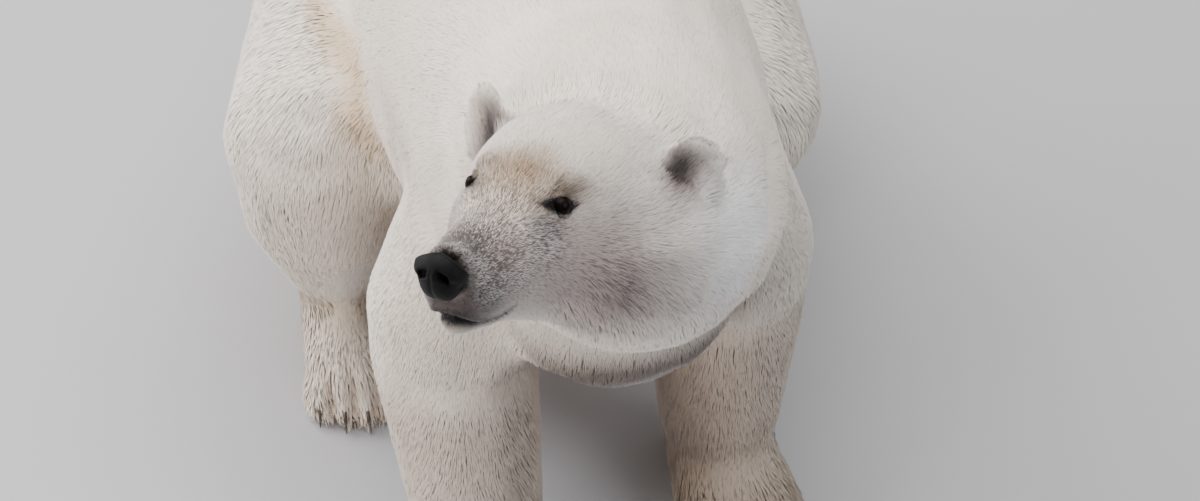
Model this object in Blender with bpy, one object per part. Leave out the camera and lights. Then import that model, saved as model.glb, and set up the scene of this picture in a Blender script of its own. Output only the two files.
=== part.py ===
"""A life-size still model of a polar bear, sitting on its haunches with its head turned and raised.

Metres, +Z up, the chest towards -Y and the bear's left towards +X. The whole animal is modelled as one
blended body out to the tips of its coat, laid flat where it rests, then parted into the pieces that a
person would name. Eyes, ears, nose and claws are pieces of their own, seated in sockets.
"""

import math

import bmesh
import bpy
from mathutils import Matrix, Vector

# Fits and fineness
GAP = 0.0003                # clearance between neighbouring pieces
BLEND_VOXEL = 0.0085        # grain of the blended body
BROAD_SMOOTHING = 34        # passes that blend the great forms
FINE_SMOOTHING = 5          # passes on the face and feet
THINNING_ALL = 0.058        # share of the blended body's triangles that is kept
THINNING_BROAD = 0.38       # share of those kept again, on the great forms only
FLOOR_SINK = 0.004          # coat pressed flat where the animal rests

# Sides of the animal
SIDES = {"left": 1, "right": -1}

# The head's own frame: origin midway between the eyes, -Y towards the nose, +Z towards the crown
HEAD_PLACE = Vector((-0.148, -0.443, 0.905))
HEAD_TURN = math.radians(-41)
HEAD_LIFT = math.radians(-30)
HEAD_TILT = math.radians(-7)

# Sections of the head from the back of the skull to the nose: distance back from the eyes,
# top, bottom, half width
HEAD_SECTIONS = [
    (0.210, 0.056, -0.150, 0.108),
    (0.155, 0.075, -0.154, 0.118),
    (0.100, 0.074, -0.154, 0.112),
    (0.050, 0.058, -0.150, 0.094),
    (0.010, 0.034, -0.143, 0.073),
    (-0.040, 0.003, -0.135, 0.056),
    (-0.085, -0.015, -0.130, 0.048),
    (-0.112, -0.025, -0.131, 0.044),
    (-0.128, -0.029, -0.126, 0.039),
]

# Rounded forms that are blended with the head, by centre and radii in its frame
HEAD_SINGLES = {
    "back of the skull": ((0.0, 0.165, -0.048), (0.124, 0.110, 0.112)),
    "nose tip": ((0.0, -0.150, -0.060), (0.030, 0.030, 0.028)),
    "stretched jowl": ((0.052, 0.150, -0.092), (0.096, 0.095, 0.078)),
}
HEAD_PAIRS = {
    "cheek": ((0.054, 0.105, -0.072), (0.068, 0.085, 0.080)),
    "brow": ((0.036, 0.022, 0.014), (0.028, 0.045, 0.024)),
    "orbit": ((0.034, -0.016, -0.012), (0.024, 0.045, 0.024)),
    "upper lip": ((0.021, -0.122, -0.086), (0.025, 0.040, 0.030)),
}

# Eyes, nose and ears in the head's frame; of each pair the left one is given
EYE = {"place": (0.0490, -0.0090, -0.0020), "radius": 0.0125,
       "opening": (0.0175, 0.0140, 0.0095), "outward": (0.80, -0.58, 0.12), "depth": 0.004}
NOSE = {"place": (0.0, -0.176, -0.066), "radii": (0.030, 0.027, 0.028),
        "squareness": 0.22, "narrowing": 0.14, "slope": 0.006}
NOSTRIL = {"place": (0.0165, -0.2010, -0.0690), "radii": (0.0070, 0.0130, 0.0080)}
EAR = {"place": (0.122, 0.146, 0.021), "half_width": 0.036, "half_height": 0.046,
       "half_depth": 0.016, "hollow": 0.55, "rim": 0.90,
       "turn": math.radians(34), "lean": math.radians(24)}

# Spine: the middle of the trunk from rump to chest, with half width and half depth there
SPINE = [
    ((0.035, 0.795, 0.182), 0.190, 0.200),
    ((0.035, 0.685, 0.240), 0.232, 0.262),
    ((0.030, 0.530, 0.338), 0.246, 0.290),
    ((0.015, 0.360, 0.445), 0.230, 0.288),
    ((0.000, 0.200, 0.525), 0.214, 0.276),
    ((0.000, 0.040, 0.595), 0.210, 0.262),
    ((0.000, -0.100, 0.642), 0.200, 0.236),
    ((0.000, -0.200, 0.675), 0.176, 0.200),
]
NECK = [
    ((0.000, -0.060, 0.640), 0.190, 0.210),
    ((0.000, -0.180, 0.686), 0.186, 0.190),
    ((0.000, -0.275, 0.724), 0.176, 0.174),
    ((-0.010, -0.340, 0.748), 0.158, 0.154),
    ((-0.035, -0.400, 0.775), 0.122, 0.122),
]
TAIL = [
    ((0.040, 0.880, 0.200), 0.055, 0.052),
    ((0.042, 0.945, 0.165), 0.046, 0.042),
    ((0.044, 0.985, 0.118), 0.034, 0.030),
]
BREAST = {"centre": (0.005, -0.165, 0.520), "radii": (0.150, 0.140, 0.140)}

# Forelegs: shoulder, elbow, wrist and the way the paw points, as a turn from straight ahead
FORELEGS = {
    "left": {"shoulder": (0.125, -0.085, 0.570), "elbow": (0.170, 0.010, 0.350),
             "wrist": (0.160, 0.000, 0.100), "turn": math.radians(4)},
    "right": {"shoulder": (-0.121, -0.095, 0.570), "elbow": (-0.161, -0.068, 0.360),
              "wrist": (-0.146, -0.165, 0.100), "turn": math.radians(-6)},
}
FORELEG_HALF_WIDTHS = (0.092, 0.102, 0.101, 0.088, 0.073)
FORELEG_HALF_DEPTHS = (0.120, 0.124, 0.114, 0.105, 0.086)
UPPER_ARM_SHARE = 0.55      # the ring between shoulder and elbow
FOREARM_SHARE = 0.50        # the ring between elbow and wrist
FOREPAW = {"length": 0.190, "half_width": 0.083, "height": 0.102, "toe_radius": 0.025,
           "heel": 0.012}

# Hind legs: hip, knee, ankle, the way the foot points
HIND_LEGS = {
    "left": {"hip": (0.180, 0.600, 0.270), "knee": (0.226, 0.245, 0.345),
             "ankle": (0.226, 0.530, 0.090), "turn": math.radians(6)},
    "right": {"hip": (-0.083, 0.620, 0.280), "knee": (-0.264, 0.245, 0.380),
              "ankle": (-0.228, 0.352, 0.090), "turn": math.radians(1)},
}
# Rings along haunch and shank: share of the way, half width, half depth
HAUNCH_RINGS = [(0.00, 0.145, 0.205), (0.40, 0.150, 0.200), (0.75, 0.132, 0.155), (1.00, 0.113, 0.112)]
SHANK_RINGS = [(0.00, 0.104, 0.100), (0.40, 0.104, 0.108), (0.80, 0.076, 0.084), (1.00, 0.062, 0.072)]
HIND_PAW = {"length": 0.205, "half_width": 0.068, "height": 0.088, "toe_radius": 0.022,
            "heel": 0.0}

# Rings along a foot: place ahead of the joint, half height and half width as shares of the foot's
FOOT_RINGS = [(-0.050, 0.50, 0.62), (0.000, 0.54, 0.80), (0.070, 0.50, 0.96)]
FOOT_END = {"behind_tip": 0.058, "tall": 0.42, "across": 0.97}
TOES = {"count": 5, "inset": 0.75, "arc": 0.022, "fan": math.radians(9), "root_back": 0.050,
        "root_squeeze": 0.90, "root_height": 1.25, "clearance": 0.002}
CLAW = {"length": 0.028, "root_radius": 0.0050, "tip_radius": 0.0013, "drop": 0.017,
        "root_back": 0.35, "root_height": 1.15, "flatness": 1.15}

# Where small forms must keep their shape, and how far from there
FACE_FINE = {"place": (0.0, -0.080, -0.050), "reach": 0.130}
FOOT_FINE = {"place": (0.0, -0.130, 0.030), "reach": 0.090}

# Cuts between the pieces: a point and the direction in which the piece ends
HEAD_CUT = ((0.0, 0.190, 0.0), (0, 1, 0))                            # in the head's frame
MOUTH_CUT = ((0.0, -0.165, -0.106), (0, 0.07, 1))
MOUTH_CORNER_CUT = ((0.0, -0.052, -0.112), (0, 1, 0.35))
NECK_CUT = ((0.0, -0.200, 0.700), (-0.06, 0.926, -0.37))
CHEST_CUT = ((0.0, 0.130, 0.560), (0.0, 0.90, -0.43))
BELLY_CUT = ((0.0, 0.480, 0.380), (0.0, 0.90, -0.43))
TAIL_CUTS = [((0.041, 0.950, 0.165), (0.0, -0.87, 0.50)), ((0, 0, 0.060), (0, 0, -1))]
SHOULDER_HEIGHT = 0.600
FORELEG_INWARD = 0.045
FORELEG_BEHIND_ELBOW = 0.118
ARMPIT_CUT = ((0.03, 0, 0.33), (-1, 0, 0.53))                        # left side
FOREARM_TOP = 0.335
FOREPAW_TOP = 0.098
THIGH_TOP = 0.500
FLANK_CUT = ((0, 0.200, 0.475), (0, -0.6, 0.8))
GROIN = {"inward": 0.145, "back": 0.30, "lean": {"left": -0.06, "right": -0.06}}
THIGH_BEHIND_HIP = 0.150
THIGH_AHEAD_OF_KNEE = 0.122
SHANK_CUT = {"under_knee": 0.03, "direction": (0, 0.69, 0.72)}
HIND_PAW_CUT = {"top": 0.094, "heel": 0.090, "inner_margin": 0.010}

# Fineness of the lofted forms
BODY_SIDES = 32
FOOT_SIDES = 20
TOE_SIDES = 12
CLAW_SIDES = 5
SHARP_EDGE = math.radians(50)


# ---------------------------------------------------------------- scene and materials

def clear_scene():
    for thing in list(bpy.data.objects):
        bpy.data.objects.remove(thing, do_unlink=True)


def finish(name, colour, roughness):
    """A Principled material of one colour."""
    material = bpy.data.materials.new(name)
    material.use_nodes = True
    shader = material.node_tree.nodes["Principled BSDF"]
    shader.inputs["Base Color"].default_value = (*colour, 1.0)
    shader.inputs["Roughness"].default_value = roughness
    shader.inputs["Metallic"].default_value = 0.0
    return material


def to_object(name, mesh_builder, material=None):
    mesh = bpy.data.meshes.new(name)
    mesh_builder.to_mesh(mesh)
    mesh_builder.free()
    thing = bpy.data.objects.new(name, mesh)
    if material:
        mesh.materials.append(material)
    bpy.context.scene.collection.objects.link(thing)
    return thing


# ---------------------------------------------------------------- lofted forms

def spread(stations):
    """Each station as one row of numbers: centre, half width, half depth."""
    return [tuple(centre) + (width, depth) for centre, width, depth in stations]


def smooth_path(stations, steps):
    """Rows interpolated through the stations by a Catmull-Rom curve."""
    rows = spread(stations)
    padded = [rows[0]] + rows + [rows[-1]]
    path = []
    for i in range(len(rows) - 1):
        before, start, end, after = padded[i:i + 4]
        for step in range(steps):
            t = step / steps
            path.append(tuple(
                0.5 * (2 * s + (e - b) * t + (2 * b - 5 * s + 4 * e - a) * t ** 2
                       + (3 * s - b - 3 * e + a) * t ** 3)
                for b, s, e, a in zip(before, start, end, after)))
    path.append(rows[-1])
    return path


def dome_rows(row, outward, steps):
    """Rows that close an end with half an ellipsoid."""
    reach = 0.8 * min(row[3], row[4])
    rows = []
    for step in range(1, steps + 1):
        angle = 0.5 * math.pi * step / (steps + 0.4)
        centre = Vector(row[:3]) + outward * reach * math.sin(angle)
        shrink = math.cos(angle)
        rows.append(tuple(centre) + (row[3] * shrink, row[4] * shrink))
    return rows


def loft(shape, stations, reference, sides=24, steps=4, dome=3):
    """Adds a closed tube of elliptical rings through the stations, with rounded ends.

    The half width of a ring lies square to both the path and the reference direction.
    """
    rows = smooth_path(stations, steps)
    start = (Vector(rows[0][:3]) - Vector(rows[1][:3])).normalized()
    end = (Vector(rows[-1][:3]) - Vector(rows[-2][:3])).normalized()
    rows = dome_rows(rows[0], start, dome)[::-1] + rows + dome_rows(rows[-1], end, dome)
    rings = []
    for i, row in enumerate(rows):
        ahead = Vector(rows[min(i + 1, len(rows) - 1)][:3])
        behind = Vector(rows[max(i - 1, 0)][:3])
        tangent = (ahead - behind).normalized()
        across = tangent.cross(Vector(reference)).normalized()
        through = across.cross(tangent)
        ring = []
        for k in range(sides):
            angle = 2 * math.pi * k / sides
            offset = across * row[3] * math.cos(angle) + through * row[4] * math.sin(angle)
            ring.append(shape.verts.new(Vector(row[:3]) + offset))
        rings.append(ring)
    for near, far in zip(rings, rings[1:]):
        for k in range(sides):
            shape.faces.new((near[k], near[(k + 1) % sides], far[(k + 1) % sides], far[k]))
    shape.faces.new(rings[0][::-1])
    shape.faces.new(rings[-1])


def ellipsoid(shape, centre, radii, frame=Matrix.Identity(4), segments=20):
    place = frame @ Matrix.Translation(centre) @ Matrix.Diagonal((*radii, 1.0))
    bmesh.ops.create_uvsphere(shape, u_segments=segments, v_segments=segments // 2, radius=1.0,
                              matrix=place)


def face_out(shape):
    bmesh.ops.recalc_face_normals(shape, faces=shape.faces)


# ---------------------------------------------------------------- modifiers, applied

def evaluated(thing):
    """Replaces an object's mesh by its evaluated one and drops its modifiers."""
    graph = bpy.context.evaluated_depsgraph_get()
    mesh = bpy.data.meshes.new_from_object(thing.evaluated_get(graph))
    thing.modifiers.clear()
    old = thing.data
    thing.data = mesh
    bpy.data.meshes.remove(old)
    return thing


def boolean(thing, cutter, operation):
    cut = thing.modifiers.new("cut", "BOOLEAN")
    cut.operation = operation
    cut.object = cutter
    evaluated(thing)


def remove(thing):
    bpy.data.objects.remove(thing, do_unlink=True)


def copy_of(thing, name):
    twin = bpy.data.objects.new(name, thing.data.copy())
    bpy.context.scene.collection.objects.link(twin)
    return twin


# ---------------------------------------------------------------- the head's frame

def head_frame():
    return (Matrix.Translation(HEAD_PLACE) @ Matrix.Rotation(HEAD_TURN, 4, "Z")
            @ Matrix.Rotation(HEAD_LIFT, 4, "X") @ Matrix.Rotation(HEAD_TILT, 4, "Y"))


def mirrored(place, side):
    return Vector((side * place[0], place[1], place[2]))


def head_form(shape):
    """Skull, muzzle, cheeks and brows."""
    frame = head_frame()
    stations = []
    for back, top, bottom, half_width in HEAD_SECTIONS:
        centre = frame @ Vector((0.0, back, 0.5 * (top + bottom)))
        stations.append((centre, half_width, 0.5 * (top - bottom)))
    loft(shape, stations, frame.to_3x3() @ Vector((0, 0, 1)), sides=BODY_SIDES)
    for centre, radii in HEAD_SINGLES.values():
        ellipsoid(shape, centre, radii, frame)
    for side in SIDES.values():
        for centre, radii in HEAD_PAIRS.values():
            ellipsoid(shape, mirrored(centre, side), radii, frame)


# ---------------------------------------------------------------- body and legs

def foot_frame(joint, turn):
    """Origin on the floor under the joint, -Y along the foot."""
    return Matrix.Translation((joint[0], joint[1], 0.0)) @ Matrix.Rotation(turn, 4, "Z")


def toe_places(paw):
    """Five toes in an arc: sideways place, forward place and fan angle."""
    places = []
    middle = (TOES["count"] - 1) / 2
    for k in range(TOES["count"]):
        share = (k - middle) / middle
        sideways = share * (paw["half_width"] - TOES["inset"] * paw["toe_radius"])
        forward = paw["length"] - paw["toe_radius"] - TOES["arc"] * share ** 2
        places.append((sideways, -forward, TOES["fan"] * share))
    return places


def paw_form(shape, joint, turn, paw):
    """A broad flat foot, with a heel under the joint and five rounded toes."""
    frame = foot_frame(joint + Vector((0, paw["heel"], 0)), turn)
    height = paw["height"]
    wide = paw["half_width"]
    rings = FOOT_RINGS + [(paw["length"] - FOOT_END["behind_tip"], FOOT_END["tall"], FOOT_END["across"])]
    stations = []
    for ahead, tall, across in rings:
        half = tall * height
        centre = frame @ Vector((0.0, -ahead, half - FLOOR_SINK))
        stations.append((centre, across * wide, half))
    loft(shape, stations, (0, 0, 1), sides=FOOT_SIDES)
    for sideways, place, _ in toe_places(paw):
        toe_form(shape, frame, sideways, place, paw["toe_radius"])


def toe_form(shape, frame, sideways, place, radius):
    root = Vector((sideways * TOES["root_squeeze"], place + TOES["root_back"],
                   TOES["root_height"] * radius))
    tip = Vector((sideways, place, radius - FLOOR_SINK + TOES["clearance"]))
    toe = [(frame @ root, 0.95 * radius, 1.15 * radius), (frame @ tip, radius, radius)]
    loft(shape, toe, (0, 0, 1), sides=TOE_SIDES, steps=2)


def between(a, b, share):
    return Vector(a).lerp(Vector(b), share)


def foreleg_form(shape, pose):
    shoulder, elbow, wrist = (Vector(pose[k]) for k in ("shoulder", "elbow", "wrist"))
    centres = [shoulder, between(shoulder, elbow, UPPER_ARM_SHARE), elbow,
               between(elbow, wrist, FOREARM_SHARE), wrist]
    stations = list(zip(centres, FORELEG_HALF_WIDTHS, FORELEG_HALF_DEPTHS))
    loft(shape, stations, (0, -1, 0))
    paw_form(shape, wrist, pose["turn"], FOREPAW)


def hind_leg_form(shape, pose):
    """Haunch, bent knee, shank and a long flat foot."""
    hip, knee, ankle = (Vector(pose[k]) for k in ("hip", "knee", "ankle"))
    haunch = [(between(hip, knee, share), wide, deep) for share, wide, deep in HAUNCH_RINGS]
    loft(shape, haunch, (0, 0, 1))
    shank = [(between(knee, ankle, share), wide, deep) for share, wide, deep in SHANK_RINGS]
    loft(shape, shank, (0, -1, 0))
    paw_form(shape, ankle, pose["turn"], HIND_PAW)


def fine_centres():
    """Where small forms must keep their shape: the face and the four feet, with a reach for each."""
    centres = [(head_frame() @ Vector(FACE_FINE["place"]), FACE_FINE["reach"])]
    joints = [(pose["wrist"], pose["turn"]) for pose in FORELEGS.values()]
    joints += [(pose["ankle"], pose["turn"]) for pose in HIND_LEGS.values()]
    for joint, turn in joints:
        centres.append((foot_frame(joint, turn) @ Vector(FOOT_FINE["place"]), FOOT_FINE["reach"]))
    return centres


def fineness(point):
    """1 on the face and toes, 0 on the great body forms."""
    best = 0.0
    for centre, reach in fine_centres():
        share = (point - centre).length / reach
        best = max(best, min(1.0, max(0.0, 2.0 - 1.4 * share)))
    return best


def smooth_by_place(body):
    """Blends the forms into each other, least on the face and feet."""
    group = body.vertex_groups.new(name="broad")
    fine = body.vertex_groups.new(name="fine")
    for vertex in body.data.vertices:
        share = fineness(vertex.co)
        group.add([vertex.index], 1.0 - share, "REPLACE")
        fine.add([vertex.index], share, "REPLACE")
    for name, iterations in (("broad", BROAD_SMOOTHING), ("fine", FINE_SMOOTHING)):
        soften = body.modifiers.new(name, "SMOOTH")
        soften.factor = 0.5
        soften.iterations = iterations
        soften.vertex_group = name
    evaluated(body)


def whole_body():
    """The animal in one closed blended body, flat where it rests."""
    shape = bmesh.new()
    loft(shape, SPINE, (0, 0, 1), sides=BODY_SIDES)
    loft(shape, NECK, (0, 0, 1), sides=BODY_SIDES)
    head_form(shape)
    for pose in FORELEGS.values():
        foreleg_form(shape, pose)
    for pose in HIND_LEGS.values():
        hind_leg_form(shape, pose)
    ellipsoid(shape, BREAST["centre"], BREAST["radii"])
    loft(shape, TAIL, (0, 0, 1), sides=TOE_SIDES)
    face_out(shape)
    body = to_object("body", shape)
    blend = body.modifiers.new("blend", "REMESH")
    blend.mode = "VOXEL"
    blend.voxel_size = BLEND_VOXEL
    evaluated(body)
    smooth_by_place(body)
    return body


# ---------------------------------------------------------------- eyes, nose, ears, claws

def grown(thing, amount, name):
    """A copy whose surface lies outside the original's by the given amount."""
    twin = copy_of(thing, name)
    shape = bmesh.new()
    shape.from_mesh(twin.data)
    shape.normal_update()
    moves = [(vertex, vertex.normal * amount) for vertex in shape.verts]
    for vertex, move in moves:
        vertex.co += move
    shape.to_mesh(twin.data)
    shape.free()
    return twin


def eye(name, side, material):
    shape = bmesh.new()
    ellipsoid(shape, mirrored(EYE["place"], side), (EYE["radius"],) * 3, head_frame(), segments=12)
    return to_object(name, shape, material)


def eye_opening(side):
    """Removes the coat in front of an eye, between the lids."""
    shape = bmesh.new()
    outward = mirrored(EYE["outward"], side).normalized()
    place = mirrored(EYE["place"], side) + outward * (EYE["radius"] + EYE["depth"])
    turn = outward.to_track_quat("Y", "Z").to_matrix().to_4x4()
    frame = head_frame() @ Matrix.Translation(place) @ turn
    ellipsoid(shape, (0, 0, 0), EYE["opening"], frame, segments=14)
    return to_object("eye_opening", shape)


def nose_pad(material):
    """Broad above, narrow below, with a nostril on each side."""
    shape = bmesh.new()
    half_width, _, half_height = NOSE["radii"]
    ellipsoid(shape, (0, 0, 0), NOSE["radii"], segments=16)
    for vertex in shape.verts:
        height = vertex.co.z / half_height
        across = vertex.co.x / half_width
        square = 1.0 + NOSE["squareness"] * abs(across * height)
        vertex.co.x *= square * (0.92 + NOSE["narrowing"] * height)
        vertex.co.z *= square
        vertex.co.y += NOSE["slope"] * max(0.0, -height)
    place = head_frame() @ Matrix.Translation(NOSE["place"])
    bmesh.ops.transform(shape, matrix=place, verts=shape.verts)
    pad = to_object("nose_pad", shape, material)
    for side in SIDES.values():
        hole = bmesh.new()
        ellipsoid(hole, mirrored(NOSTRIL["place"], side), NOSTRIL["radii"], head_frame(), segments=10)
        cutter = to_object("nostril", hole)
        boolean(pad, cutter, "DIFFERENCE")
        remove(cutter)
    return pad


def ear(name, side, material):
    """A small round cup, open forwards and outwards."""
    shape = bmesh.new()
    wide, deep, tall = EAR["half_width"], EAR["half_depth"], EAR["half_height"]
    ellipsoid(shape, (0, 0, 0), (wide, deep, tall), segments=14)
    for vertex in shape.verts:
        if vertex.co.y < 0:
            rim = min(1.0, math.hypot(vertex.co.x / wide, vertex.co.z / tall))
            cup = 1.0 - rim ** 2
            vertex.co.y = deep * (EAR["hollow"] * cup - EAR["rim"] * rim * math.sqrt(cup))
    place = (head_frame() @ Matrix.Translation(mirrored(EAR["place"], side))
             @ Matrix.Rotation(side * EAR["turn"], 4, "Z")
             @ Matrix.Rotation(side * EAR["lean"], 4, "Y"))
    bmesh.ops.transform(shape, matrix=place, verts=shape.verts)
    face_out(shape)
    return to_object(name, shape, material)


def claw(name, toe, toe_radius, material):
    """A short horn hook that grows from the top of a toe and points down."""
    shape = bmesh.new()
    start = Vector((0.0, -CLAW["root_back"] * toe_radius, CLAW["root_height"] * toe_radius))
    stations = []
    for step in range(3):
        share = step / 2
        place = start + Vector((0.0, -CLAW["length"] * share, -CLAW["drop"] * share ** 2))
        radius = CLAW["root_radius"] + (CLAW["tip_radius"] - CLAW["root_radius"]) * share
        stations.append((toe @ place, radius, CLAW["flatness"] * radius))
    loft(shape, stations, (0, 0, 1), sides=CLAW_SIDES, steps=1, dome=1)
    face_out(shape)
    return to_object(name, shape, material)


# ---------------------------------------------------------------- parting the body

def region(planes, grow=0.0, size=3.0):
    """A closed convex block: the inside of every plane, each given by a point and its outward normal."""
    shape = bmesh.new()
    bmesh.ops.create_cube(shape, size=size)
    for point, normal in planes:
        normal = Vector(normal).normalized()
        geometry = shape.verts[:] + shape.edges[:] + shape.faces[:]
        bmesh.ops.bisect_plane(shape, geom=geometry, dist=1e-6, plane_co=Vector(point) + normal * grow,
                               plane_no=normal, clear_outer=True)
        rim = [edge for edge in shape.edges if edge.is_boundary]
        if rim:
            bmesh.ops.contextual_create(shape, geom=rim)
    face_out(shape)
    return to_object("region", shape)


def part_off(rest, name, planes, material):
    """Cuts the piece inside the planes from the rest, and leaves a thin gap between the two."""
    piece = copy_of(rest, name)
    inside = region(planes)
    boolean(piece, inside, "INTERSECT")
    remove(inside)
    outside = region(planes, grow=GAP)
    boolean(rest, outside, "DIFFERENCE")
    remove(outside)
    piece.data.materials.clear()
    piece.data.materials.append(material)
    return piece


def in_head(cut):
    """A cut given in the head's frame, in the frame of the whole animal."""
    frame = head_frame()
    return (frame @ Vector(cut[0]), frame.to_3x3() @ Vector(cut[1]))


def foreleg_planes(side, pose):
    back = pose["elbow"][1] + FORELEG_BEHIND_ELBOW
    return [((side * FORELEG_INWARD, 0, 0), (-side, 0, 0)),
            (mirrored(ARMPIT_CUT[0], side), mirrored(ARMPIT_CUT[1], side)),
            ((0, back, 0), (0, 1, 0)),
            ((0, 0, SHOULDER_HEIGHT), (0, 0, 1))]


def hind_leg_planes(name, side, pose):
    back = pose["hip"][1] + THIGH_BEHIND_HIP
    front = pose["knee"][1] - THIGH_AHEAD_OF_KNEE
    groin = (side * GROIN["inward"], GROIN["back"], 0)
    return [(groin, (-side, GROIN["lean"][name], 0)),
            ((0, back, 0), (0, 1, 0.2)),
            ((0, front, 0), (0, -1, 0)),
            FLANK_CUT,
            ((0, 0, THIGH_TOP), (0, 0, 1))]


def hind_paw_planes(side, pose):
    """Below the ankle, within the foot's own width and length."""
    foot = foot_frame(pose["ankle"], pose["turn"])
    turn = foot.to_3x3()
    inner = foot @ Vector((-side * (HIND_PAW["half_width"] + HIND_PAW_CUT["inner_margin"]), 0, 0))
    heel = foot @ Vector((0, HIND_PAW_CUT["heel"], 0))
    return [((0, 0, HIND_PAW_CUT["top"]), (0, 0, 1)),
            (inner, turn @ Vector((-side, 0, 0))),
            (heel, turn @ Vector((0, 1, 0)))]


def part_foreleg(rest, name, side, pose, material):
    leg = part_off(rest, "leg", foreleg_planes(side, pose), material)
    paw = part_off(leg, "forepaw_" + name, [((0, 0, FOREPAW_TOP), (0, 0, 1))], material)
    forearm = part_off(leg, "forearm_" + name, [((0, 0, FOREARM_TOP), (0, 0, 1))], material)
    leg.name = "upper_arm_" + name
    return [paw, forearm, leg]


def part_hind_leg(rest, name, side, pose, material):
    leg = part_off(rest, "leg", hind_leg_planes(name, side, pose), material)
    under_knee = Vector(pose["knee"]) - Vector((0, 0, SHANK_CUT["under_knee"]))
    shank = part_off(leg, "shank_" + name, [(under_knee, SHANK_CUT["direction"])], material)
    paw = part_off(shank, "hind_paw_" + name, hind_paw_planes(side, pose), material)
    leg.name = "thigh_" + name
    return [paw, shank, leg]


def thin_out(body):
    """Fewer, larger triangles, first everywhere and then once more on the great forms."""
    overall = body.modifiers.new("overall", "DECIMATE")
    overall.ratio = THINNING_ALL
    broad = body.modifiers.new("broad", "DECIMATE")
    broad.vertex_group = "broad"
    broad.ratio = THINNING_BROAD
    evaluated(body)
    body.vertex_groups.clear()


def flatten_on_floor(body):
    below = region([((0, 0, 0), (0, 0, 1))])
    boolean(body, below, "DIFFERENCE")
    remove(below)


def part_body(body, coat):
    """Every flesh piece, cut from the blended body in turn."""
    head = part_off(body, "head", [in_head(HEAD_CUT)], coat)
    jaw = part_off(head, "lower_jaw", [in_head(MOUTH_CUT), in_head(MOUTH_CORNER_CUT)], coat)
    pieces = [head, jaw, part_off(body, "neck", [NECK_CUT], coat)]
    for name, side in SIDES.items():
        pieces += part_foreleg(body, name, side, FORELEGS[name], coat)
    for name, side in SIDES.items():
        pieces += part_hind_leg(body, name, side, HIND_LEGS[name], coat)
    pieces.append(part_off(body, "tail", TAIL_CUTS, coat))
    pieces.append(part_off(body, "chest", [CHEST_CUT], coat))
    pieces.append(part_off(body, "belly", [BELLY_CUT], coat))
    body.name = "rump"
    pieces.append(body)
    return {piece.name: piece for piece in pieces}


def seat(piece, flesh):
    """Hollows a socket for the piece in the flesh, a thin gap wider all round."""
    cutter = grown(piece, GAP, "socket")
    boolean(flesh, cutter, "DIFFERENCE")
    remove(cutter)


def add_face_pieces(head, finishes):
    pieces = []
    for name, side in SIDES.items():
        opening = eye_opening(side)
        boolean(head, opening, "DIFFERENCE")
        remove(opening)
        pieces.append(eye("eye_" + name, side, finishes["eye"]))
        pieces.append(ear("ear_" + name, side, finishes["coat"]))
    pieces.append(nose_pad(finishes["nose"]))
    for piece in pieces:
        seat(piece, head)
    return pieces


def add_claws(flesh, finishes):
    pieces = []
    feet = []
    for side, pose in FORELEGS.items():
        feet.append(("forepaw_" + side, foot_frame(pose["wrist"], pose["turn"]), FOREPAW))
    for side, pose in HIND_LEGS.items():
        feet.append(("hind_paw_" + side, foot_frame(pose["ankle"], pose["turn"]), HIND_PAW))
    for name, foot, paw in feet:
        for k, (sideways, place, fan) in enumerate(toe_places(paw), 1):
            toe = foot @ Matrix.Translation((sideways, place, 0.0)) @ Matrix.Rotation(fan, 4, "Z")
            piece = claw(f"claw_{name}_{k}", toe, paw["toe_radius"], finishes["claw"])
            seat(piece, flesh[name])
            pieces.append(piece)
    return pieces


def stand_on_floor(pieces):
    """Moves every piece so that the middle of the whole footprint is the origin."""
    points = [vertex.co for piece in pieces for vertex in piece.data.vertices]
    middle = [0.5 * (min(p[axis] for p in points) + max(p[axis] for p in points)) for axis in (0, 1)]
    lowest = min(p[2] for p in points)
    shift = Matrix.Translation((-middle[0], -middle[1], -lowest))
    for piece in pieces:
        piece.data.transform(shift)


def make_finishes():
    return {
        "coat": finish("coat", (0.80, 0.76, 0.68), 0.85),
        "nose": finish("nose_leather", (0.015, 0.014, 0.014), 0.45),
        "eye": finish("eye_glass", (0.02, 0.012, 0.008), 0.08),
        "claw": finish("claw_horn", (0.06, 0.045, 0.03), 0.40),
    }


def main():
    clear_scene()
    finishes = make_finishes()
    body = whole_body()
    thin_out(body)
    flatten_on_floor(body)
    flesh = part_body(body, finishes["coat"])
    pieces = list(flesh.values())
    pieces += add_face_pieces(flesh["head"], finishes)
    pieces += add_claws(flesh, finishes)
    stand_on_floor(pieces)
    for piece in pieces:
        piece.data.shade_smooth()
        piece.data.set_sharp_from_angle(angle=SHARP_EDGE)


main()
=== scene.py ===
import math

import bmesh
import bpy
import numpy as np
from mathutils import Matrix, Vector
from mathutils.bvhtree import BVHTree


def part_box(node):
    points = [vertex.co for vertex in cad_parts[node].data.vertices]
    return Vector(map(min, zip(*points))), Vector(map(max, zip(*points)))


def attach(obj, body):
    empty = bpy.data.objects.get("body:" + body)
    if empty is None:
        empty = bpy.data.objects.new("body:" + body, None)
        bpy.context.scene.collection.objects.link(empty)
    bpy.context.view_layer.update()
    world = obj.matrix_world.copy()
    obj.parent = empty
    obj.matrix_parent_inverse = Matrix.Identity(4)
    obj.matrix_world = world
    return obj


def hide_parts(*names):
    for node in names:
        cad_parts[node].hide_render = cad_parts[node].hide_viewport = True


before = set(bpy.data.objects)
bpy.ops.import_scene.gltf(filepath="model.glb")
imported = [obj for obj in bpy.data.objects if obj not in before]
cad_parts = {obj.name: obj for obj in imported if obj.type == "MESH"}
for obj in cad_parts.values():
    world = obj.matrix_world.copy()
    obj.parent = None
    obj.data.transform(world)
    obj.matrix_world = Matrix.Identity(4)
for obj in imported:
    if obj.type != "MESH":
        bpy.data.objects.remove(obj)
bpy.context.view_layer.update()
print("frame loaded:", len(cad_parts), "nodes")

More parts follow.
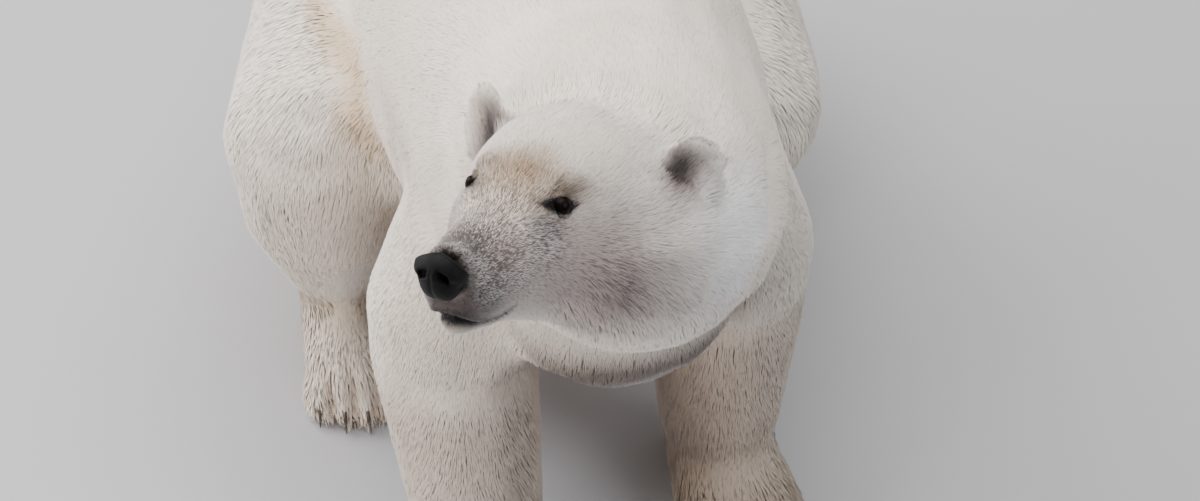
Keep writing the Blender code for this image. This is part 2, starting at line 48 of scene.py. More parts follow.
# A still polar bear, sitting, in its coat. One skin lies under the coat, which is made of thin solid
# tufts that follow the lie of the hair. Eyes, nose and claws are pieces of their own.

sides = {"left": 1, "right": -1}


# Node trees, for surfaces and for geometry

class Wire:
    # A socket that takes part in sums, or in any other node's inputs.
    def __init__(self, graph, socket):
        self.graph = graph
        self.socket = socket

    def __add__(self, other):
        return self.graph.maths("ADD", self, other)

    def __radd__(self, other):
        return self.graph.maths("ADD", other, self)

    def __sub__(self, other):
        return self.graph.maths("SUBTRACT", self, other)

    def __rsub__(self, other):
        return self.graph.maths("SUBTRACT", other, self)

    def __mul__(self, other):
        return self.graph.maths("MULTIPLY", self, other)

    def __rmul__(self, other):
        return self.graph.maths("MULTIPLY", other, self)

    def __truediv__(self, other):
        return self.graph.maths("DIVIDE", self, other)

    def output(self, name):
        return Wire(self.graph, self.socket.node.outputs[name])


class Graph:
    def __init__(self, tree):
        self.tree = tree

    def add(self, kind, settings=None, inputs=None, output=0):
        node = self.tree.nodes.new(kind)
        for name, value in (settings or {}).items():
            if name == "stops":
                self.setStops(node.color_ramp, value)
            else:
                setattr(node, name, value)
        for key, value in (inputs or {}).items():
            socket = node.inputs[key]
            if isinstance(value, Wire):
                self.tree.links.new(value.socket, socket)
            else:
                socket.default_value = value
        return Wire(self, node.outputs[output]) if node.outputs else node

    def setStops(self, ramp, stops):
        while len(ramp.elements) < len(stops):
            ramp.elements.new(1.0)
        for element, (place, colour) in zip(ramp.elements, stops):
            element.position = place
            element.color = (*colour, 1.0)

    def maths(self, operation, *values):
        return self.add("ShaderNodeMath", {"operation": operation}, dict(enumerate(values)))

    def vectors(self, operation, *values):
        return self.add("ShaderNodeVectorMath", {"operation": operation}, dict(enumerate(values)))

    def scaled(self, vector, factor):
        return self.add("ShaderNodeVectorMath", {"operation": "SCALE"}, {0: vector, "Scale": factor})

    def combine(self, x, y=0.0, z=0.0):
        return self.add("ShaderNodeCombineXYZ", {}, {"X": x, "Y": y, "Z": z})

    def split(self, vector):
        parts = self.add("ShaderNodeSeparateXYZ", {}, {"Vector": vector})
        return [parts.output(axis) for axis in "XYZ"]

    def mixColour(self, share, first, second, blend="MIX"):
        # Mix keeps its colour sockets after those for numbers and vectors
        return self.add("ShaderNodeMix", {"data_type": "RGBA", "blend_type": blend},
                        {0: share, 6: first, 7: second}, output=2)

    def mixVector(self, share, first, second):
        return self.add("ShaderNodeMix", {"data_type": "VECTOR"}, {0: share, 4: first, 5: second}, output=1)

    def shaded(self, colour, shade):
        grey = self.add("ShaderNodeCombineColor", {}, {0: shade, 1: shade, 2: shade})
        return self.mixColour(1.0, colour, grey, "MULTIPLY")

    def smooth(self, value, low, high):
        return self.add("ShaderNodeMapRange", {"interpolation_type": "SMOOTHSTEP"},
                        {0: value, 1: low, 2: high, 3: 0.0, 4: 1.0})

    def noise(self, place, scale, detail=3.0, roughness=0.5):
        return self.add("ShaderNodeTexNoise", {}, {"Vector": place, "Scale": scale, "Detail": detail,
                                                   "Roughness": roughness}, output="Fac")

    # For surfaces

    def objectPlace(self):
        return self.add("ShaderNodeTexCoord", output="Object")

    def attribute(self, name, output="Fac"):
        return self.add("ShaderNodeAttribute", {"attribute_name": name}, output=output)

    def bump(self, strength, distance, height):
        return self.add("ShaderNodeBump", {}, {"Strength": strength, "Distance": distance, "Height": height})

    # For geometry

    def field(self, name, kind="FLOAT"):
        return self.add("GeometryNodeInputNamedAttribute", {"data_type": kind}, {"Name": name})

    def scatter(self, mesh, where, density, seed):
        return self.add("GeometryNodeDistributePointsOnFaces", {}, {
            "Mesh": mesh, "Selection": where, "Density": density, "Seed": seed})

    def random(self, low, high, seed):
        return self.add("FunctionNodeRandomValue", {"data_type": "FLOAT"}, {2: low, 3: high, "Seed": seed},
                        output=1)

    def sample(self, geometry, index, value, kind="FLOAT_VECTOR"):
        return self.add("GeometryNodeSampleIndex", {"data_type": kind, "domain": "POINT"},
                        {"Geometry": geometry, "Value": value, "Index": index})

    def stored(self, geometry, name, value, kind="FLOAT", domain="POINT"):
        return self.add("GeometryNodeStoreNamedAttribute", {"data_type": kind, "domain": domain},
                        {"Geometry": geometry, "Name": name, "Value": value})

    def without(self, geometry, names):
        for name in names:
            geometry = self.add("GeometryNodeRemoveAttribute", {}, {"Geometry": geometry, "Name": name})
        return geometry


def surface(name, constants):
    # A material with its Principled shader's constant values set, and the graph that feeds it
    material = bpy.data.materials.new(name)
    material.use_nodes = True
    shader = material.node_tree.nodes["Principled BSDF"]
    for socket, value in constants.items():
        shader.inputs[socket].default_value = value
    return material, Graph(material.node_tree), shader


def feed(shader, wires):
    for socket, wire in wires.items():
        wire.graph.tree.links.new(wire.socket, shader.inputs[socket])


# Numbers over a mesh

def smoothStep(value, low, high):
    t = np.clip((value - low) / (high - low), 0.0, 1.0)
    return t * t * (3.0 - 2.0 * t)


def unit(rows):
    return rows / np.maximum(np.linalg.norm(rows, axis=1, keepdims=True), 1e-9)


def blob(points, centre, radii):
    # 1 at the centre, fading like a bell
    return np.exp(-(((points - np.array(centre)) / np.array(radii)) ** 2).sum(axis=1))


def readRows(things, name, width=1, kind=np.float64):
    # What the members of a mesh's collection hold under one name
    rows = np.empty(len(things) * width, dtype=kind)
    things.foreach_get(name, rows)
    return rows.reshape(-1, width) if width > 1 else rows


class Net:
    # The points of a mesh as arrays, with its edges for smoothing
    def __init__(self, mesh):
        self.mesh = mesh
        self.count = len(mesh.vertices)
        self.points = readRows(mesh.vertices, "co", 3)
        self.edges = readRows(mesh.edges, "vertices", 2, np.int64)
        self.degree = np.bincount(self.edges.ravel(), minlength=self.count)[:, None]

    def around(self, values):
        # The mean of each point's neighbours
        first, second = self.edges.T
        total = np.empty_like(values)
        for k in range(values.shape[1]):
            total[:, k] = (np.bincount(first, values[second, k], self.count)
                           + np.bincount(second, values[first, k], self.count))
        return total / np.maximum(self.degree, 1)

    def spread(self, values, passes):
        for _ in range(passes):
            values = 0.5 * values + 0.5 * self.around(values)
        return values

    def fair(self, weight, passes, push=0.52):
        # Smooths the shape without letting it shrink
        for _ in range(passes):
            self.points += 0.5 * weight * (self.around(self.points) - self.points)
            self.points -= push * weight * (self.around(self.points) - self.points)
        self.write()

    def write(self):
        self.mesh.vertices.foreach_set("co", self.points.ravel())
        self.mesh.update()

    def normals(self):
        return readRows(self.mesh.vertices, "normal", 3)

    def store(self, name, kind, values, domain="POINT"):
        field = {"FLOAT_VECTOR": "vector", "FLOAT_COLOR": "color"}.get(kind, "value")
        layer = self.mesh.attributes.new(name, kind, domain)
        layer.data.foreach_set(field, np.ascontiguousarray(values).ravel())


# Places on the animal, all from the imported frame

def middle(node):
    low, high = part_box(node)
    return (low + high) / 2


def mirrored(place, side):
    # The same place on the animal's left (1) or right (-1)
    return np.array(place) * np.array((side, 1, 1))


headPose = {
    "turn": math.radians(-41), "lift": math.radians(-30), "tilt": math.radians(-7),
    "eyesMiddle": (0.0, -0.009, -0.002),      # midway between the eyeballs, in the head's own frame
}


def headFrame():
    # Nose towards -Y, crown towards +Z, the animal's left towards +X
    turn = (Matrix.Rotation(headPose["turn"], 4, "Z") @ Matrix.Rotation(headPose["lift"], 4, "X")
            @ Matrix.Rotation(headPose["tilt"], 4, "Y"))
    eyes = (middle("eye_left") + middle("eye_right")) / 2
    return Matrix.Translation(eyes - turn.to_3x3() @ Vector(headPose["eyesMiddle"])) @ turn


head = headFrame()
headBack = np.array(head.to_3x3() @ Vector((0, 1, 0)))
headUp = np.array(head.to_3x3() @ Vector((0, 0, 1)))
headLeft = np.array(head.to_3x3() @ Vector((1, 0, 0)))


def inHead(points):
    turn = np.array(head.to_3x3())
    return (points - np.array(head.translation)) @ turn


eyeSpec = {
    "outward": (0.80, -0.58, 0.12),      # the way an eye faces, in the head's frame, for the left eye
    "corner": (0.375, 0.926, -0.044),    # from the tear corner to the outer corner
    "halfLong": 0.0120, "upper": 0.0052, "lower": 0.0046, "tearCorner": 1.85, "tearPoint": 2.0,
    "outerPoint": 3.2, "wider": 1.22,    # the opening between the lids, and how much wider its dark rim is
    "sunk": 0.0030, "gap": 0.0004, "lidLift": 0.0022, "lidRound": 0.0014, "lidEdge": 2.6, "lidBlend": 5.0,
    "reach": (0.0160, 0.0215),
    "brow": 0.0040, "browPlace": (0.050, -0.010, 0.021), "browReach": (0.016, 0.024, 0.010),
}


def eyeRadius(side):
    low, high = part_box("eye_" + side)
    return (high.x - low.x) / 2


def eyeFrame(side):
    # Ways along the opening, up to the upper lid, and outward
    mirror = Vector((sides[side], 1, 1))
    turn = head.to_3x3()
    outward = (turn @ (Vector(eyeSpec["outward"]) * mirror)).normalized()
    along = (turn @ (Vector(eyeSpec["corner"]) * mirror))
    along = (along - outward * along.dot(outward)).normalized()
    upper = outward.cross(along) * sides[side]
    if upper.dot(Vector(headUp)) < 0:
        upper = -upper
    return np.array(along), np.array(upper), np.array(outward)


# The parts of the coat: length of hair, the degrees that it stands up by, how it clumps, and how densely
# it covers
coatParts = {
    "head": (0.018, 13, 0.42, 4.4), "lower_jaw": (0.010, 16, 0.20, 4.2), "ear": (0.011, 19, 0.15, 6.0),
    "neck": (0.038, 5, 0.05, 5.6), "chest": (0.042, 6, 0.06, 5.6), "belly": (0.048, 6, 0.05, 5.4),
    "rump": (0.050, 6, 0.05, 5.2), "tail": (0.042, 13, 0.20, 5.0),
    "upper_arm": (0.040, 7, 0.06, 5.6), "forearm": (0.038, 10, 0.16, 5.4), "forepaw": (0.042, 15, 0.36, 5.4),
    "thigh": (0.046, 7, 0.05, 5.4), "shank": (0.046, 10, 0.20, 5.4), "hind_paw": (0.052, 15, 0.34, 5.4),
}
trunk = ["belly", "rump", "chest"]
feet = ["forepaw_left", "forepaw_right", "hind_paw_left", "hind_paw_right"]


def partOf(node):
    # The row of the coat's table that a node follows
    return node if node in coatParts else node.rsplit("_", 1)[0]


def clawsOn(foot):
    return [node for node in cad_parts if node.startswith("claw_" + foot)]


fleshNodes = [n for n in sorted(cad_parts) if not n.startswith(("claw", "eye", "nose"))]

skinSpec = {
    "voxel": 0.0080,          # grain of the joined skin
    "close": 0.0004,          # closes the thin cuts between the nodes
    "closeEars": 0.0025,      # thickens the ears' thin middles until the skin is drawn in
    "fairing": 110, "keepFine": 0.06, "mapAngle": math.radians(60), "mapMargin": 0.002,
    "face": (0.0, -0.055, -0.05), "faceReach": 0.185, "faceFairing": 6, "faceFade": 0.25,
    "mouth": (-0.155, -0.120, -0.085, -0.055), "mouthLevel": -0.105, "detailReach": 0.034, "lidReach": 0.021,
}


def mergedFlesh():
    # Every flesh node in one bmesh, each grown a little, and for each triangle the node it came from
    total = bmesh.new()
    owners = []
    for index, name in enumerate(fleshNodes):
        part = bmesh.new()
        part.from_mesh(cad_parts[name].data)
        bmesh.ops.remove_doubles(part, verts=part.verts, dist=1e-6)
        part.normal_update()
        grow = skinSpec["closeEars"] if name.startswith("ear") else skinSpec["close"]
        moves = [vert.normal * grow for vert in part.verts]
        for vert, move in zip(part.verts, moves):
            vert.co += move
        piece = bpy.data.meshes.new("piece")
        part.to_mesh(piece)
        part.free()
        total.from_mesh(piece)
        bpy.data.meshes.remove(piece)
        owners += [index] * (len(total.faces) - len(owners))
    return total, owners


def plainMesh(thing):
    # The evaluated mesh in place of the object's own, with its modifiers gone
    graph = bpy.context.evaluated_depsgraph_get()
    mesh = bpy.data.meshes.new_from_object(thing.evaluated_get(graph))
    thing.modifiers.clear()
    thing.data = mesh
    return thing


def newObject(name, mesh):
    thing = bpy.data.objects.new(name, mesh)
    bpy.context.scene.collection.objects.link(thing)
    return thing


def subdivideNear(mesh, centres, reach):
    # Halves the edges whose ends both lie near one of the places
    points = Net(mesh).points
    near = np.zeros(len(points), dtype=bool)
    for centre in centres:
        near |= np.linalg.norm(points - np.array(centre), axis=1) < reach
    shape = bmesh.new()
    shape.from_mesh(mesh)
    shape.verts.ensure_lookup_table()
    edges = [e for e in shape.edges if near[e.verts[0].index] and near[e.verts[1].index]]
    bmesh.ops.subdivide_edges(shape, edges=edges, cuts=1, use_grid_fill=True)
    bmesh.ops.triangulate(shape, faces=[f for f in shape.faces if len(f.verts) > 4])
    shape.to_mesh(mesh)
    shape.free()


fineSpec = {
    "gain": 1.6, "face": (0.0, -0.07, -0.05), "faceReach": (0.13, 0.13, 0.13), "toesBack": 0.05,
    "toesHeight": 0.03, "toesReach": (0.11, 0.08, 0.06), "earReach": (0.05, 0.05, 0.05), "earShare": 0.75,
}


def fineness(points):
    # 1 on the face and toes, 0 on the great forms
    share = fineSpec["gain"] * blob(inHead(points), fineSpec["face"], fineSpec["faceReach"])
    for name in feet:
        low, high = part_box(name)
        toes = Vector(((low.x + high.x) / 2, low.y + fineSpec["toesBack"], fineSpec["toesHeight"]))
        share = np.maximum(share, fineSpec["gain"] * blob(points, toes, fineSpec["toesReach"]))
    for side in sides:
        ear = blob(points, middle("ear_" + side), fineSpec["earReach"])
        share = np.maximum(share, fineSpec["earShare"] * ear)
    return np.clip(share, 0.0, 1.0)


def joinedSkin():
    shape, owners = mergedFlesh()
    tree = BVHTree.FromBMesh(shape)
    mesh = bpy.data.meshes.new("skin")
    shape.to_mesh(mesh)
    shape.free()
    thing = newObject("skin", mesh)
    remesh = thing.modifiers.new("join", "REMESH")
    remesh.mode = "VOXEL"
    remesh.voxel_size = skinSpec["voxel"]
    plainMesh(thing)
    net = Net(thing.data)
    weight = 1.0 - (1.0 - skinSpec["keepFine"]) * fineness(net.points)[:, None]
    net.fair(weight, skinSpec["fairing"])
    face = head @ Vector(skinSpec["face"])
    subdivideNear(thing.data, [face], skinSpec["faceReach"])
    details = [middle("eye_left"), middle("eye_right")]
    details += [head @ Vector((0.0, y, skinSpec["mouthLevel"])) for y in skinSpec["mouth"]]
    subdivideNear(thing.data, details, skinSpec["detailReach"])
    subdivideNear(thing.data, details[:2], skinSpec["lidReach"])
    net = Net(thing.data)
    inside = skinSpec["faceFade"] - np.linalg.norm(net.points - np.array(face), axis=1)
    net.fair(smoothStep(inside, 0.0, 0.06)[:, None], skinSpec["faceFairing"])
    print("skin joined:", len(thing.data.polygons), "faces")
    return thing, tree, owners


skin, fleshTree, owners = joinedSkin()
net = Net(skin.data)
nodeAt = np.array([owners[fleshTree.find_nearest(Vector(p))[2]] for p in net.points])


def onNodes(names):
    return np.isin(nodeAt, [fleshNodes.index(name) for name in names])


def shareOf(net, names, passes):
    # 1 on the named nodes, running out softly past their edges
    return net.spread(onNodes(names).astype(float)[:, None], passes)[:, 0]


def nearness(net, first, second, passes):
    # 1 in the crease where two groups of nodes meet
    return np.clip(4.0 * shareOf(net, first, passes) * shareOf(net, second, passes), 0.0, 1.0)


# How the hair lies: back along the spine, down the legs and forward over the feet, with x outwards

softLie = {"head": 8, "body": 45}    # passes that run one part's lie into the next
lies = {
    "spine": (0.0, 0.90, -0.43), "down": (0.0, 0.22, -1.0),
    "upper_arm": (0.08, 0.16, -1.0), "forearm": (0.0, 0.10, -1.0), "forepaw": (0.0, -1.0, -0.35),
    "thigh": (0.45, -0.30, -0.85), "shank": (0.10, -0.35, -1.0), "hind_paw": (0.05, -1.0, -0.35),
}


def sideways(node):
    return sides[node.rsplit("_", 1)[1]]


def bodyLie(normals):
    # Back along the spine above, and more and more downwards on the flanks, breast and throat
    steep = 0.5 - 0.5 * normals[:, 2:3]
    return np.array(lies["spine"]) * (1.0 - steep) ** 1.3 + np.array(lies["down"]) * steep


def headLie(points):
    # From the nose back over the head: up over the brow, down the cheeks
    local = inHead(points)
    climb = np.clip(0.10 + 9.0 * (local[:, 2:3] + 0.030), -1.3, 0.45)
    climb = climb * smoothStep(local[:, 1:2], -0.14, 0.03)
    outward = 0.9 * local[:, :1] * smoothStep(local[:, 1:2], -0.06, 0.10)
    return headBack[None] + climb * headUp[None] + outward * headLeft[None]


def earLie(node, points):
    # Spreading from the ear's root
    root = np.array(middle(node)) - 0.045 * headUp - 0.02 * sideways(node) * headLeft
    return points - root[None]


def lieOf(node, points, normals):
    part = partOf(node)
    if part in ("head", "lower_jaw"):
        return headLie(points)
    if part == "ear":
        return earLie(node, points)
    if part in lies:
        return np.tile(mirrored(lies[part], sideways(node)), (len(points), 1))
    return bodyLie(normals)


def layHair(net, normals):
    lie = np.zeros((net.count, 3))
    for index, node in enumerate(fleshNodes):
        mine = nodeAt == index
        lie[mine] = unit(lieOf(node, net.points[mine], normals[mine]))
    onHead = onNodes(["head", "lower_jaw", "ear_left", "ear_right"])
    lie = np.where(onHead[:, None], net.spread(lie, softLie["head"]), net.spread(lie, softLie["body"]))
    lie -= normals * (lie * normals).sum(axis=1, keepdims=True)
    return unit(lie)


# Length of the head's hair, and where it grows longer: backwards from the nose, at the ruff, below the jaw
headHair = {
    "shortest": 0.0046, "back": 0.0130, "backFrom": (-0.165, 0.100), "ruff": 0.016, "ruffFrom": (0.09, 0.21),
    "jaw": 0.018, "jawBelow": (0.09, 0.15), "jawFrom": (-0.02, 0.12), "edge": 10, "blend": 26,
}


def hairTable(net):
    # Length, lift, clumping and cover at each point, blended where parts meet
    values = np.array([coatParts[partOf(node)] for node in fleshNodes])[nodeAt]
    values = net.spread(values, headHair["blend"])
    local = inHead(net.points)
    face = headHair["shortest"] + headHair["back"] * smoothStep(local[:, 1], *headHair["backFrom"])
    jaw = headHair["jaw"] * smoothStep(-local[:, 2], *headHair["jawBelow"])
    jaw = jaw * smoothStep(local[:, 1], *headHair["jawFrom"])
    ruff = headHair["ruff"] * smoothStep(local[:, 1], *headHair["ruffFrom"]) + jaw
    blend = smoothStep(shareOf(net, ["head", "lower_jaw"], headHair["edge"]), 0.05, 0.95)
    values[:, 0] = values[:, 0] * (1.0 - blend) + (face + ruff) * blend
    return values


# Markings, painted light and painted shade, the same for skin and coat

# Colours. Some are painted light and shade: white lightens hair that faces up and round the head, the
# whitest lights the ruff, brow is the shadow under the brow ridge, shade is painted shade, and the dirt
# colour serves both dirt and painted shade.
colours = {
    "cream": (0.860, 0.765, 0.660), "white": (0.920, 0.865, 0.800), "tan": (0.560, 0.385, 0.215),
    "brown": (0.300, 0.170, 0.090), "grey": (0.200, 0.180, 0.178), "mauve": (0.440, 0.350, 0.330),
    "dirtAndShade": (0.400, 0.305, 0.240), "black": (0.007, 0.006, 0.006), "dark": (0.060, 0.046, 0.042),
    "brow": (0.290, 0.225, 0.165), "paintedLightWhite": (0.965, 0.940, 0.930),
    "shade": (0.125, 0.092, 0.074), "sand": (0.420, 0.320, 0.215),
}

# Patches on the head: place and reach in its frame, colour and its strength, the share of dark hairs, and
# whether there is one on both sides
headPatches = [
    # Painted light: the ruff on the animal's left side is whitened as if lit, over its white fur
    ((0.165, 0.200, -0.040), (0.060, 0.070, 0.080), "paintedLightWhite", 1.20, 0.0, False),
    ((0.0, -0.148, -0.040), (0.046, 0.044, 0.030), "grey", 1.25, 0.70, False),
    ((0.036, -0.128, -0.078), (0.034, 0.052, 0.036), "grey", 1.15, 0.62, True),
    ((0.0, -0.154, -0.101), (0.055, 0.046, 0.025), "dark", 1.25, 0.0, False),
    ((0.0, -0.105, -0.022), (0.048, 0.044, 0.030), "grey", 0.58, 0.52, False),
    ((0.0, -0.060, -0.004), (0.044, 0.036, 0.028), "mauve", 0.72, 0.34, False),
    ((0.040, -0.080, -0.055), (0.030, 0.045, 0.035), "mauve", 0.88, 0.42, True),
    ((0.0, -0.030, 0.012), (0.052, 0.052, 0.052), "sand", 1.15, 0.36, False),
    ((0.014, -0.010, 0.018), (0.024, 0.024, 0.024), "brown", 0.34, 0.08, True),
    # Painted shade: the shadow under the brow ridge, above each eye
    ((0.047, -0.010, 0.013), (0.022, 0.032, 0.014), "brow", 1.05, 0.22, True),
    ((0.052, -0.036, -0.032), (0.022, 0.028, 0.032), "grey", 0.72, 0.40, True),
    # The next two: the cheeks' own mauve tone, with painted shade on the lower cheek
    ((0.083, 0.030, -0.050), (0.060, 0.090, 0.060), "mauve", 0.66, 0.24, True),
    ((0.090, 0.040, -0.095), (0.070, 0.120, 0.050), "mauve", 0.95, 0.24, True),
    ((0.104, 0.064, -0.098), (0.014, 0.024, 0.034), "grey", 0.30, 0.16, True),
    ((0.040, 0.070, -0.138), (0.050, 0.090, 0.014), "grey", 0.52, 0.20, True),
]

# Stains and painted shade on the body: how strongly they colour the hair, and their share of dark hairs
stainAndShadeSpec = {
    "crease": {"left": 0.35, "right": 0.80}, "creaseDark": 0.20, "armpit": 0.30,
    "inner": 0.50, "innerPatchy": 0.20, "innerDark": 0.10, "forelegDirtAndShade": {"left": 0.62, "right": 0.42},
    "foot": 0.15, "footDark": 0.05, "heel": 0.35, "heelDark": 0.12, "toeGapShade": 0.90, "under": 0.22,
    "breastShade": 1.3, "breastDark": 0.12,
    "breastPlace": (0.0187, 0.0379, 0.1399),    # from the middle of the chest's lower front edge
    "breastReach": (0.165, 0.150, 0.062),
}

# Eyes, ears, mouth and nose: how strongly their surrounds are coloured, and where
faceSpec = {
    "eyeShade": 0.72, "eyeShadeRing": (1.7, 3.6), "eyeRim": (1.50, 2.00), "lowerRim": 0.30, "cup": 1.15,
    "cupDark": 0.40, "hollow": 1.50, "lips": 1.5, "lipLine": 0.0004, "lipWidth": 0.0060, "noseRim": 0.9,
    "noseRimPlace": (0.0, -0.170, -0.070), "noseRimReach": (0.034, 0.018, 0.036),
}


class Marks:
    # Colour at each point, and the share of dark hairs there
    def __init__(self, count):
        self.tint = np.tile(np.array(colours["cream"]), (count, 1))
        self.dark = np.zeros(count)

    def add(self, share, colour, strength=1.0, dark=0.0):
        mask = np.clip(strength * share, 0.0, 1.0)[:, None]
        self.tint = self.tint * (1.0 - mask) + np.array(colours[colour])[None] * mask
        self.dark += dark * share


earSpec = {
    "hollow": (0.110, 0.141, 0.013), "hollowReach": (0.015, 0.026, 0.030), "cupReach": (0.026, 0.034, 0.032),
    "facing": (0.45, -0.85, 0.0), "depth": 0.0025, "draw": 0.006,
}


def earShare(local, normals, side, reach):
    # 1 in the hollow of an ear, on the skin that faces forward
    facing = normals @ np.array(head.to_3x3() @ Vector(mirrored(earSpec["facing"], side)))
    return blob(local, mirrored(earSpec["hollow"], side), earSpec[reach]) * smoothStep(facing, 0.15, 0.5)


def treeOf(names):
    # A search tree over some of the nodes
    shape = bmesh.new()
    for name in names:
        shape.from_mesh(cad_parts[name].data)
    tree = BVHTree.FromBMesh(shape)
    shape.free()
    return tree


trunkTree = treeOf(trunk)
creaseSpec = {"reach": 0.020, "fade": (0.12, 0.34), "above": (0.16, 0.26), "clump": 0.45, "lift": 7.0}


def creaseAt(net, normals, side):
    # The fold between flank and thigh: near the trunk, on the parts of the leg seen from in front
    away = np.full(net.count, 9.0)
    for index in np.nonzero(onNodes(["thigh_" + side, "shank_" + side]))[0]:
        away[index] = trunkTree.find_nearest(Vector(net.points[index]))[3]
    share = np.exp(-(away / creaseSpec["reach"]) ** 2) + nearness(net, ["thigh_" + side], trunk, 10)
    share = share * smoothStep(normals[:, 2], -0.6, 0.1) * smoothStep(-normals[:, 1], -0.7, 0.1)
    share = share * (1.0 - smoothStep(net.points[:, 1], *creaseSpec["fade"]))
    return np.clip(share * smoothStep(net.points[:, 2], *creaseSpec["above"]), 0, 1)


toeSpec = {"run": 0.085, "width": 0.0055, "ahead": 0.03, "top": 0.11, "depth": 0.010}


def toeGaps(points):
    # 1 along the lines between neighbouring toes, from their tips back over the foot
    share = np.zeros(len(points))
    for foot in feet:
        tips = sorted((middle(node) for node in clawsOn(foot)), key=lambda v: v.x)
        for first, second in zip(tips, tips[1:]):
            tip = (first + second) / 2
            line = np.exp(-(np.abs(points[:, 0] - tip.x) / toeSpec["width"]) ** 2)
            line = line * smoothStep(toeSpec["run"] - (points[:, 1] - tip.y), 0.0, toeSpec["run"])
            onFoot = (points[:, 2] < toeSpec["top"]) * (points[:, 1] > tip.y - toeSpec["ahead"])
            share = np.maximum(share, line * onFoot)
    return share


def almond(points, side, wider=1.0):
    # How far from the middle of the eye's opening, 1 at the lids' edge, and the way from the eyeball
    along, upper, outward = eyeFrame(side)
    offset = points - np.array(middle("eye_" + side))
    across = offset @ along
    height = offset @ upper
    long = np.where(across < 0, eyeSpec["halfLong"] * eyeSpec["tearCorner"], eyeSpec["halfLong"]) * wider
    tall = np.where(height > 0, eyeSpec["upper"], eyeSpec["lower"])
    power = np.where(across < 0, eyeSpec["tearPoint"], eyeSpec["outerPoint"])
    ring = np.abs(across / long) ** power + np.abs(height) / tall
    near = (offset @ outward > 0) & (np.linalg.norm(offset, axis=1) < 0.05)
    return np.where(near, ring, 9.0), offset


mouthSpec = {
    "front": -0.166, "corner": -0.068, "height": -0.1060, "slope": -0.09, "sag": 0.009, "rise": 0.007,
    "groove": 0.0042, "width": 0.0026, "lip": 0.0018, "lipLine": 0.0055, "lipWidth": 0.0032,
    "grooveFade": (0.035, 0.075), "lipFade": (0.03, 0.07),
    "jaw": (0.0, -0.166, -0.103), "jawReach": (0.060, 0.034, 0.020), "recede": 0.012, "pinch": 0.45,
    "chin": 0.009, "chinPlace": (0.0, -0.115, -0.122), "chinReach": (0.034, 0.050, 0.014),
}


def mouthLine(local, fade):
    # Height above the line of the mouth, and how much of the mouth is there
    run = np.clip((local[:, 1] - mouthSpec["front"]) / (mouthSpec["corner"] - mouthSpec["front"]), 0, 1)
    level = mouthSpec["height"] + mouthSpec["slope"] * (local[:, 1] - mouthSpec["front"])
    level = level - mouthSpec["sag"] * np.sin(math.pi * run) + mouthSpec["rise"] * smoothStep(run, 0.75, 1.0)
    there = 1.0 - smoothStep(local[:, 1], mouthSpec["corner"] - 0.006, mouthSpec["corner"] + 0.004)
    return local[:, 2] - level, smoothStep(-local[:, 1], *fade) * there


def legMarks(marks, net, normals, side, patchy):
    # Stains and painted shade on one side's legs, from the fold of the flank down to the toes
    fore = ["forearm_" + side, "forepaw_" + side]
    marks.add(creases[side], "tan", stainAndShadeSpec["crease"][side], stainAndShadeSpec["creaseDark"])
    # Darker in the fold where the foreleg meets the chest and belly
    armpit = nearness(net, ["upper_arm_" + side, "forearm_" + side], ["chest", "belly"], 30)
    marks.add(armpit, "dirtAndShade", stainAndShadeSpec["armpit"])
    # Painted shade on the sides of the forelegs that face inwards, with patchy dirt and dark hairs over it
    inner = shareOf(net, fore + ["upper_arm_" + side], 12)
    inner = inner * smoothStep(-sides[side] * normals[:, 0], -0.85, 0.85)
    marks.add(inner, "dirtAndShade", stainAndShadeSpec["inner"] + stainAndShadeSpec["innerPatchy"] * patchy,
              stainAndShadeSpec["innerDark"] * patchy)
    # Dirt on the lower forelegs; the left one's greater share is painted shade
    marks.add(shareOf(net, fore, 20), "dirtAndShade", stainAndShadeSpec["forelegDirtAndShade"][side])
    foot = shareOf(net, ["forepaw_" + side, "hind_paw_" + side], 20)
    marks.add(foot, "tan", stainAndShadeSpec["foot"], stainAndShadeSpec["footDark"])
    heel = nearness(net, ["shank_" + side], ["hind_paw_" + side], 24)
    marks.add(heel, "tan", stainAndShadeSpec["heel"], stainAndShadeSpec["heelDark"])


def bodyMarks(marks, net, normals, headShare):
    x, z = net.points[:, 0], net.points[:, 2]
    waves = np.sin(x * 47.0 + 3.0 * np.sin(z * 31.0)), np.sin(z * 38.0 + 2.0 * np.sin(x * 41.0))
    patchy = 0.5 + 0.5 * waves[0] * waves[1]
    # Painted light: the hair is whiter where it faces up, and round the head and neck
    marks.add(0.5 * smoothStep(normals[:, 2], 0.0, 0.9) + 0.4 * headShare, "white")
    for side in sides:
        legMarks(marks, net, normals, side, patchy)
    # Painted shade: dark lines in the gaps between the toes
    marks.add(toeGaps(net.points), "brown", stainAndShadeSpec["toeGapShade"])
    # Painted shade: the hair is darker where it faces down, away from the head
    marks.add(smoothStep(-normals[:, 2], 0.1, 0.9) * (1.0 - headShare), "dirtAndShade", stainAndShadeSpec["under"])
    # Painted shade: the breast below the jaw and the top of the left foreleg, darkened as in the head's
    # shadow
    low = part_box("chest")[0]
    place = Vector((middle("chest").x, low.y, low.z)) + Vector(stainAndShadeSpec["breastPlace"])
    breastShade = blob(net.points, place, stainAndShadeSpec["breastReach"])
    breastShade = breastShade * shareOf(net, ["chest", "neck", "upper_arm_left"], 6)
    marks.add(breastShade, "shade", stainAndShadeSpec["breastShade"], stainAndShadeSpec["breastDark"])


